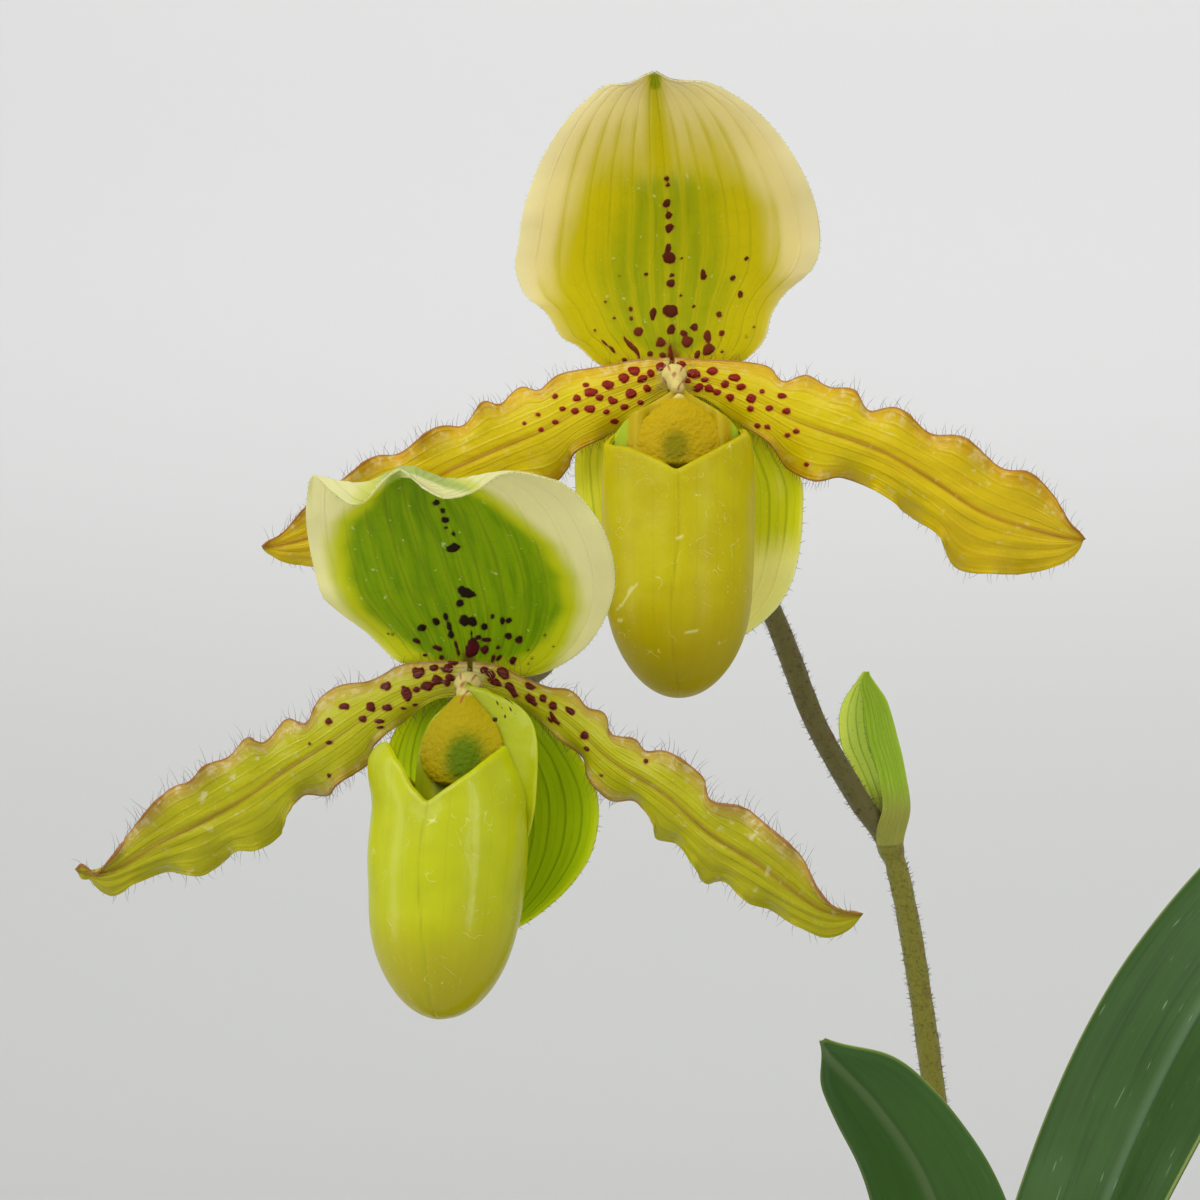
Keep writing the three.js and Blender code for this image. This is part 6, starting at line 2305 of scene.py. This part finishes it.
FRONT_PETAL_RIGHT = BladeShape(
    left=(
        (0.4, -3), (3.3, -3), (6, -4.3), (9.8, -7.7), (12.3, -9.6), (13, -12), (15.4, -14.2), (17.8, -14.2),
        (19.7, -16.4), (20.1, -18), (22.4, -18.6), (24.2, -21.1), (25.3, -22.7), (27.3, -22.5),
        (29.5, -24.4), (32.3, -25.4), (35, -27), (38.1, -28), (40.4, -27.0), (41.6, -25.7),
    ),
    right=(
        (0.3, 0.7), (2.7, 0.4), (6.5, -1.3), (8.6, -2.1), (11.1, -2.4), (12.8, -4.2), (14.5, -4.8),
        (15.3, -6.9), (17.8, -7.4), (19.1, -8.8), (21.3, -8.7), (25, -11.4), (25.7, -13.6), (29.2, -14.4),
        (32.2, -16.7), (35.2, -19.4), (36.9, -22.8), (39, -25.0), (40.7, -25.2), (41.6, -25.5),
    ),
    waves=7.5,
    **PETAL_BEND,
    spots=(
        (1.5, -0.2, 0.43, 0.37), (2.3, -0.7, 0.54, 0.33, 30), (2.7, -1.5, 0.65, 0.33, 25),
        (3.6, -0.6, 0.87, 0.43, 45), (4.5, -2.3, 0.92, 0.39, 42), (6.5, -2.1, 0.61, 0.39, 20),
        (6.7, -3.5, 0.87, 0.33, 45), (7.9, -3.4, 0.48, 0.33, 40), (9.1, -4.2, 0.46, 0.33, 35),
        (9.3, -5.4, 0.81, 0.3, 48), (8.8, -5.6, 0.33, 0.15, 45), (10.9, -4.7, 0.5, 0.33, 35),
        (12.5, -7.3, 0.43, 0.33, 35), (12.8, -8.7, 0.33, 0.2, 45), (19.1, -10.2, 0.27),
        (14.3, -11.6, 0.22, 0.15),
    ),
)
UPPER_POUCH = {
    "centre_x": 1.0,
    "half_width": (3.4, 8.0, 8.4, 8.4, 8.1),
    "centre_y": (-3.0, -6.6, -7.2, -8.4, -9.8),
    "half_depth": (3.1, 6.9, 7.3, 7.8, 7.9),
    "waist": -27.0,
    "bottom": -38.5,
    "drift": -1.8,
    "lean": 0.012,
    "rim": (
        (-180, -5.3), (-150, -6.6), (-134, -10.4), (-129, -8.7), (-115, -8.2), (-97, -9.5), (-87, -10.0),
        (-57, -10.4), (-42, -10.6), (-27, -11.3), (-12, -12.2), (1, -13.3), (18, -12.0), (33, -11.0),
        (48, -10.1), (63, -9.4), (78, -8.9), (93, -8.3), (113, -8.2), (130, -8.3), (137, -9.9), (150, -6.6),
        (180, -5.3),
    ),
    # the painted highlight down the right edge
    "edge_highlight": 0.9,
    "scratches": (
        (-4.9, -27.2, 0.2, 2.3, 35), (-5.7, -30.1, 0.42, 0.32, 20), (2.0, -31.4, 1.1, 0.16, -20),
        (0.6, -20.6, 1.3, 0.15, -4),
    ),
}
FRONT_POUCH = {
    "centre_x": 0.2,
    "half_width": (3.4, 7.4, 7.9, 8.3, 7.8),
    "centre_y": (-3.0, -6.6, -7.2, -8.4, -9.4),
    "half_depth": (3.1, 6.9, 7.4, 8.0, 7.8),
    "waist": -25.0,
    "bottom": -36.7,
    "drift": -1.2,
    "pinch": 0.2,
    "rim": (
        (-180, -5.3), (-164, -6.0), (-152, -11.0), (-136, -13.0), (-120, -11.4), (-106, -10.0), (-85, -9.6),
        (-75, -8.9), (-64, -8.0), (-53, -7.95), (-39, -8.7), (-25, -10.6), (-19, -12.1), (-8, -13.3),
        (-2, -14.1), (15, -12.4), (30, -11.1), (45, -9.95), (60, -9.25), (75, -8.8), (90, -8.4),
        (105, -8.3), (120, -8.4), (135, -9.3), (150, -6.6), (180, -5.3),
    ),
    "belly": 0.15,
    "claw_x": 1.2,
    "claw_top": -2.4,
    "claw_drop": 19.0,
    "claw_ridge": 0.6,
    "claw_reach": (5.3, 8.5),
    "claw_gold": (4.0, 9.5),
    "claw_bend": (1.2, 0.5),
    "dots": (
        (3.1, -3.7, 0.2), (3.8, -3.3, 0.16), (4.4, -3.8, 0.15), (4.4, -4.6, 0.2), (3.1, -5.0, 0.2),
        (3.9, -5.4, 0.16), (4.9, -3.4, 0.13), (2.75, -5.5, 0.3), (3.6, -4.3, 0.13), (5.0, -4.9, 0.13),
    ),
}
SCAPE = (
    (0, 0, 90.3), (-1.4, 0, 112), (-4.2, 0, 138), (-7.4, 0, 162), (-10.5, 0, 185.7), (-13.0, -0.2, 199.8),
    (-14.7, -0.4, 205.4), (-17.8, -0.8, 209.8), (-20.9, -1.5, 214.9), (-23.9, -2.6, 220.5),
    (-28.8, -4.6, 232.9), (-34.3, -5.4, 243.5),
)
UPPER_OVARY = (
    (-34.65, -5.45, 244.2), (-36.6, -6.0, 250), (-39.6, -8.4, 256.6), (-41.3, -14, 260.6),
    (-41.5, -22.7, 261.2),
)
FRONT_OVARY = (
    (-35.4, -5.6, 241.5), (-38.2, -6.3, 241.3), (-43, -8.6, 242.2), (-49.5, -14, 241.5), (-53.6, -24, 237),
    (-55.5, -34, 231.5), (-58, -43, 227.4), (-63.5, -52.5, 226.1),
)
SCAPE_BRACT = {
    "path": (
        (-14.6, -0.4, 204.9), (-15.5, -0.3, 209.2), (-17.6, 0, 213.4), (-19.9, 0.2, 217.6),
        (-19.9, 0.5, 221.8), (-17.6, 0.5, 226.2),
    ),
    "across": (1.35, 3.0, 4.4, 5.6, 4.4, 0.5),
    "deep": (1.35, 2.1, 2.1, 1.8, 1.2, 0.3),
    "front": (150, 88, 67, 61, 61, 80),
    "back": (160, 115, 100, 95, 95, 95),
    "keel": 0.0,
}
RACHIS_BRACT = {
    "path": (
        (-33.6, -5.3, 241.6), (-34.2, -5.2, 244.4), (-34.6, -4.8, 248), (-35.2, -4.0, 252),
        (-36.2, -3.2, 255.5),
    ),
    "across": (2.25, 2.6, 2.9, 2.2, 0.5),
    "deep": (2.2, 2.4, 2.5, 1.8, 0.35),
    "front": (75, 80, 80, 80, 80),
    "back": (75, 80, 80, 80, 80),
    "keel": math.radians(35),
}
LEAF_FOOT = 90.3


def fan_point(k: float) -> tuple[float, float, float]:
    """A leaf's foot on the crown, k millimetres along the fan."""
    return k * math.cos(FAN_TURN), k * math.sin(FAN_TURN), LEAF_FOOT


LEAVES = (
    {
        "name": "leaf_front",
        "side": Side.LEFT,
        "spine": (
            fan_point(-4.4), (-5.2, -5, 110), (-7.0, -11, 135), (-10.7, -20, 163), (-17.6, -25.6, 176),
            (-24.4, -30, 184.4),
        ),
        "width": (3.4, 4.5, 5.4, 6.2, 6.9, 7.4, 7.9, 8.4, 8.8, 9.0, 8.9, 8.5, 7.9, 7.2, 6.5, 4.9, 0.4),
        "lean": (0, 0, 0, -0.8, -1.2, -1.1, 0),
        "across": (115, 128, 150, 165, 168),
        "fold": (40, 34, 28, 22, 16),
    },
    {
        "name": "leaf_left_long",
        "side": Side.LEFT,
        "spine": (
            fan_point(-6), (-9.4, -5, 108), (-22, -13, 130), (-50, -27, 145), (-85, -42, 140),
            (-116, -54, 120), (-134, -61, 101),
        ),
        "width": (3.6, 7, 11, 12.6, 12.4, 9.5, 1.6),
        "across": (115, 115, 113, 113, 113),
        "fold": (40, 30, 20, 16, 14),
    },
    {
        "name": "leaf_left_old",
        "side": Side.LEFT,
        "spine": (fan_point(-7.6), (-14.5, -7.5, 101.5), (-32, -18, 112), (-58, -32, 110), (-78, -44, 97)),
        "width": (3.8, 7, 10.6, 11, 8.5, 1.6),
        "across": (115, 118, 120, 120, 120),
        "fold": (40, 28, 20, 16, 14),
    },
    {
        "name": "leaf_back_right",
        "side": Side.RIGHT,
        "spine": (
            fan_point(4.4), (5.8, 6, 112), (9.2, 16, 136), (16.6, 29, 156), (32.5, 38, 184),
            (56.6, 44, 208), (83, 48, 219),
        ),
        "width": (3.4, 6.5, 11.0, 13.1, 12.9, 10.1, 1.2),
        "across": (115, 122, 134, 142, 140),
        "fold": (40, 32, 24, 18, 14),
    },
    {
        "name": "leaf_right_low",
        "side": Side.RIGHT,
        "spine": (
            fan_point(6), (10.4, 5, 107), (26, 12, 128), (55, 25, 140), (88, 40, 133), (116, 54, 112),
        ),
        "width": (3.6, 7, 11, 12.4, 11.8, 8.8, 1.6),
        "across": (115, 115, 116, 116, 116),
        "fold": (40, 30, 20, 16, 14),
    },
    {
        "name": "leaf_right_old",
        "side": Side.RIGHT,
        "spine": (fan_point(7.6), (15, 6, 101), (32, 11, 110), (56, 17, 107), (74, 21, 96)),
        "width": (3.8, 7, 10, 10.4, 8, 1.6),
        "across": (115, 110, 107, 106, 106),
        "fold": (40, 28, 20, 16, 14),
    },
)


# ---- blooms ----
@dataclass
class Bloom:
    """One slipper bloom: its sepals, petals, pouch and column, on its ovary."""

    site: Site
    dorsal: DorsalSepal
    synsepal: Synsepal
    petals: tuple[Petal, Petal]
    pouch: Pouch
    column: Column
    ovary: Stem

    def build(self) -> None:
        """Builds the bloom from the back to the front."""
        for part in (self.ovary, self.dorsal, self.synsepal, *self.petals, self.pouch, self.column):
            part.build()


def upper_bloom() -> Bloom:
    """The upper bloom, the older one, gone to gold."""
    site = Site("upper", (-41.6, -25.0, 262.7), 0.07)
    petal = {"finish": PetalTissue(name="gold_petal_tissue"), "slot": "petal_gold", "bleed": 0.1}
    velvet = VelvetStem(name="ovary_velvet")
    return Bloom(
        site,
        DorsalSepal(
            site,
            "dorsal_sepal",
            UPPER_DORSAL,
            DorsalTissue(name="gold_dorsal_tissue"),
            "dorsal_tissue",
            heart=(
                (-2, -9.5, 9.5), (0.5, -9.8, 9.3), (3, -11.4, 10.2), (5.5, -12.7, 10.7), (9, -12.9, 11.3),
                (13, -12.1, 10.6), (18, -10.5, 10.0), (23, -9.7, 7.4), (26.6, -8.7, 6.3), (29, -7.0, 4.5),
                (31.5, -5.5, 2.5), (33, -4.0, 0.5),
            ),
            swell=0.3,
            bleed=0.05,
            green=(-0.5, 10.5),
            cream=(2.2, -4.6),
            fade=(19.5, 25.0),
        ),
        Synsepal(site, "synsepal", UPPER_SYNSEPAL, SepalTissue(name="gold_sepal_tissue"), "sepal_green"),
        (
            Petal(site, "petal_left", UPPER_PETAL_LEFT, **petal, seed=31),
            Petal(site, "petal_right", UPPER_PETAL_RIGHT, **petal, seed=35),
        ),
        Pouch(site, PouchTissue(name="gold_pouch_tissue"), **UPPER_POUCH),
        Column(site, ShieldTissue(name="gold_shield_tissue")),
        Stem("upper_ovary", UPPER_OVARY, (1.25, 1.5, 1.9, 2.1, 1.9), velvet, 96, 48, 6, seed=63),
    )


def front_bloom() -> Bloom:
    """The front bloom, the younger one, still green."""
    site = Site("front", (-64.1, -55.0, 227.6), 0.287)
    tissue = PetalTissue(
        name="green_petal_tissue",
        body="#b2b010",
        tip="#a49f0a",
        warm="#a08c0a",
        rib="#8a6c10",
        wart_and_glint="#d2c696",
        flush="#b48a48",
        spot="#5c1206",
        halo="#96701c",
    )
    petal = {"finish": tissue, "slot": "petal_green", "bleed": 0.04, "hair": 1.2}
    velvet = VelvetStem(name="ovary_velvet")
    # the sepal's last colour is painted light, for its side in the shade of the pouch
    sepal = SepalTissue(
        name="green_sepal_tissue", body="#a2b80a", pale="#bcc440", vein="#648206", painted_light="#ccde14"
    )
    dorsal = DorsalTissue(
        name="green_dorsal_tissue",
        heart="#82a202",
        deep="#5e8700",
        band="#c2c814",
        cream="#e8e4a4",
        blush="#dcd69c",
        back="#aeb078",
        vein="#4a7208",
        spot="#22140a",
        brick="#561018",
        streaking=0.2,
        halo="#4a4a0a",
    )
    return Bloom(
        site,
        DorsalSepal(
            site,
            "dorsal_sepal",
            FRONT_DORSAL,
            dorsal,
            "dorsal_tissue",
            heart=(
                (-2, -4, 5), (0, -6.2, 7.7), (3, -8.9, 9.8), (6.6, -12.3, 10.9), (10, -13.7, 10.3),
                (13.5, -14.1, 8.1), (16, -13.4, 5.1), (18, -11.3, 2.7), (19.5, -10.4, 0.5), (21, -10, -3),
            ),
            ruddy=(90.0, 99.0),
            apex=99.0,
            green=(-1.2, 2.8),
            cream=(0.7, -3.4),
            fade=(40.0, 50.0),
            brim=(0.86, 0.92),
            crest=(
                (-17.1, 21.0), (-15.1, 20.3), (-12.8, 19.9), (-10.9, 20.0), (-9.3, 20.8), (-7.7, 21.6),
                (-6.4, 21.7), (-4.8, 21.1), (-2.9, 20.4), (-1.1, 20.4), (1.0, 20.8), (3.2, 21.2),
                (4.8, 21.3), (7.1, 21.0), (8.9, 20.5),
            ),
        ),
        Synsepal(site, "synsepal", FRONT_SYNSEPAL, sepal, "sepal_green", pale=(-24.0, -34.0, 0.5)),
        (
            Petal(site, "petal_left", FRONT_PETAL_LEFT, **petal, seed=39),
            Petal(site, "petal_right", FRONT_PETAL_RIGHT, **petal, seed=43),
        ),
        Pouch(
            site,
            PouchTissue(
                name="green_pouch_tissue",
                gloss=0.4,
                gloss_roughness=0.2,
                body="#b4ba08",
                side="#abb004",
                low="#aaa002",
                shoulder="#a8b010",
                flank="#98a60c",
                vein="#8f960f",
            ),
            **FRONT_POUCH,
        ),
        Column(
            site,
            ShieldTissue(name="green_shield_tissue", body="#a89604", olive="#5c7200"),
            shield_x=1.15,
            shield_levels=(-2.0, -3.0, -4.25, -5.9, -7.55, -9.2, -10.9, -12.0, -12.5),
            shield_widths=(0.2, 1.2, 2.5, 3.8, 4.6, 4.75, 4.1, 2.8, 0.3),
            boss=(0.8, -9.5, 2.3),
            stalk_foot=-3.2,
        ),
        Stem("front_ovary", FRONT_OVARY, (1.1, 1.4, 1.6, 1.9, 2.1, 1.9), velvet, 120, 48, 6, seed=65),
    )


# ---- studio ----
@dataclass
class Studio:
    """A pale cove, soft lamps and the camera."""

    lens: float = 116.0
    cove_front: float = 4000.0  # millimetres before the plant
    cove_back: float = 1560.0  # behind it
    cove_side: float = 3200.0
    cove_radius: float = 500.0
    cove_top: float = 2600.0

    def cove(self) -> None:
        """A floor that runs up into a wall in one sweep."""
        bend = np.linspace(0, np.pi / 2, 24)
        floor = np.linspace(-self.cove_front, self.cove_back - self.cove_radius, 12)[:-1]
        sweep = self.cove_back - self.cove_radius * (1 - np.sin(bend))
        rise = np.linspace(self.cove_radius, self.cove_top, 30)[1:]
        y = np.concatenate([floor, sweep, np.full(len(rise), self.cove_back)])
        z = np.concatenate([0 * floor, self.cove_radius * (1 - np.cos(bend)), rise])
        x = np.linspace(-self.cove_side, self.cove_side, 12)
        points = np.stack([*np.meshgrid(x, y), np.outer(z, np.ones(len(x)))], axis=-1).reshape(-1, 3)
        n = len(x)
        i, j = (g.ravel() for g in np.meshgrid(np.arange(len(y) - 1), np.arange(n - 1), indexing="ij"))
        quads = np.stack([i * n + j, i * n + j + 1, (i + 1) * n + j + 1, (i + 1) * n + j], axis=1)
        skin = Skin(points, quads, fields={"height": ease(0, 500, points[:, 2])})
        cove = linked("cove", skin.mesh("cove"))
        cove.data.materials.append(Plaster(name="plaster").material())

    def lamp(
        self, name: str, at: Sequence[float], aim: Sequence[float], size: Sequence[float], watts: float
    ) -> None:
        """Hangs one soft lamp.

        Args:
            name: its name.
            at: where it hangs, in millimetres.
            aim: what it points at.
            size: its width and height in millimetres.
            watts: its power.
        """
        light = bpy.data.lights.new(name, "AREA")
        light.shape, light.size, light.size_y, light.energy = "RECTANGLE", size[0] * MM, size[1] * MM, watts
        body = linked(name, light)
        body.location = [value * MM for value in at]
        x, y, z = np.asarray(at, float) - np.asarray(aim, float)
        body.rotation_euler = (math.atan2(math.hypot(x, y), z), 0.0, math.atan2(x, -y))
        body.visible_camera = False

    def build(self) -> None:
        """Sets the stage, the lamps and the camera."""
        scene = bpy.context.scene
        scene.view_settings.view_transform = "Standard"
        world = bpy.data.worlds.new("studio")
        scene.world = world
        world.use_nodes = True
        world.node_tree.nodes["Background"].inputs["Color"].default_value = linear("#ededed")
        world.node_tree.nodes["Background"].inputs["Strength"].default_value = 0.6
        self.cove()
        heart = (-50, -40, 235)
        self.lamp("key", (-650, -700, 1050), heart, (900, 700), 6.0)
        self.lamp("left_strip", (-900, -180, 420), heart, (260, 1100), 2.2)
        self.lamp("right_strip", (560, -900, 520), heart, (160, 900), 2.6)
        self.lamp("wall_wash", (0, -900, 2100), (0, 900, 500), (2200, 600), 12.0)
        self.lamp("wall_fill", (420, 420, 1500), (380, 1560, 1000), (2200, 500), 8.0)
        camera = bpy.data.cameras.new("camera")
        camera.lens, camera.sensor_width = self.lens, 36.0
        body = linked("camera", camera)
        body.location = [value * MM for value in EYE]
        body.rotation_euler = (math.pi / 2, 0, 0)
        scene.camera = body


def main() -> None:
    """Builds the studio and the plant, piece by piece."""
    logging.basicConfig(level=logging.INFO, format="%(message)s")
    Studio().build()
    stem = VelvetStem(name="scape_velvet")
    bract = BractTissue(name="bract_tissue")
    leaf = StrapLeaf(name="leaf_tissue")
    # the front leaf's own copy of the leaf colours, retuned to how light falls on it: painted light, with
    # painted shade at the tip and stronger painted sheen beside the midrib
    shaded = StrapLeaf(
        name="front_leaf_painted_light_tissue",
        body="#44701a",
        light="#4a7822",
        dark="#2a4a10",
        pale="#93a874",
        edge="#9aac48",
        tip_shade=0.5,
    )
    taper = (1.75, 1.7, 1.6, 1.5, 1.4, 1.35, 1.35, 1.3)
    crown = Crown(CrownTissue(name="crown_tissue"))
    plant = [
        ClayPot(Terracotta(name="terracotta_clay")),
        Bark(FirBark(name="fir_bark_chips")),
        crown,
        Stem("scape", SCAPE, taper, stem, 300, 32, hairs=2600, upper_from=206.0, node_at=204.5),
        Sheath("scape_bract", finish=bract, **SCAPE_BRACT),
        Sheath("rachis_bract", finish=bract, **RACHIS_BRACT),
        *(StrapLeafBlade(finish=leaf if k else shaded, **sizes) for k, sizes in enumerate(LEAVES)),
        upper_bloom(),
        front_bloom(),
    ]
    for part in plant:
        log.info("-- %s", type(part).__name__)
        part.build()
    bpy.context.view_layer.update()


if __name__ == "__main__":
    main()
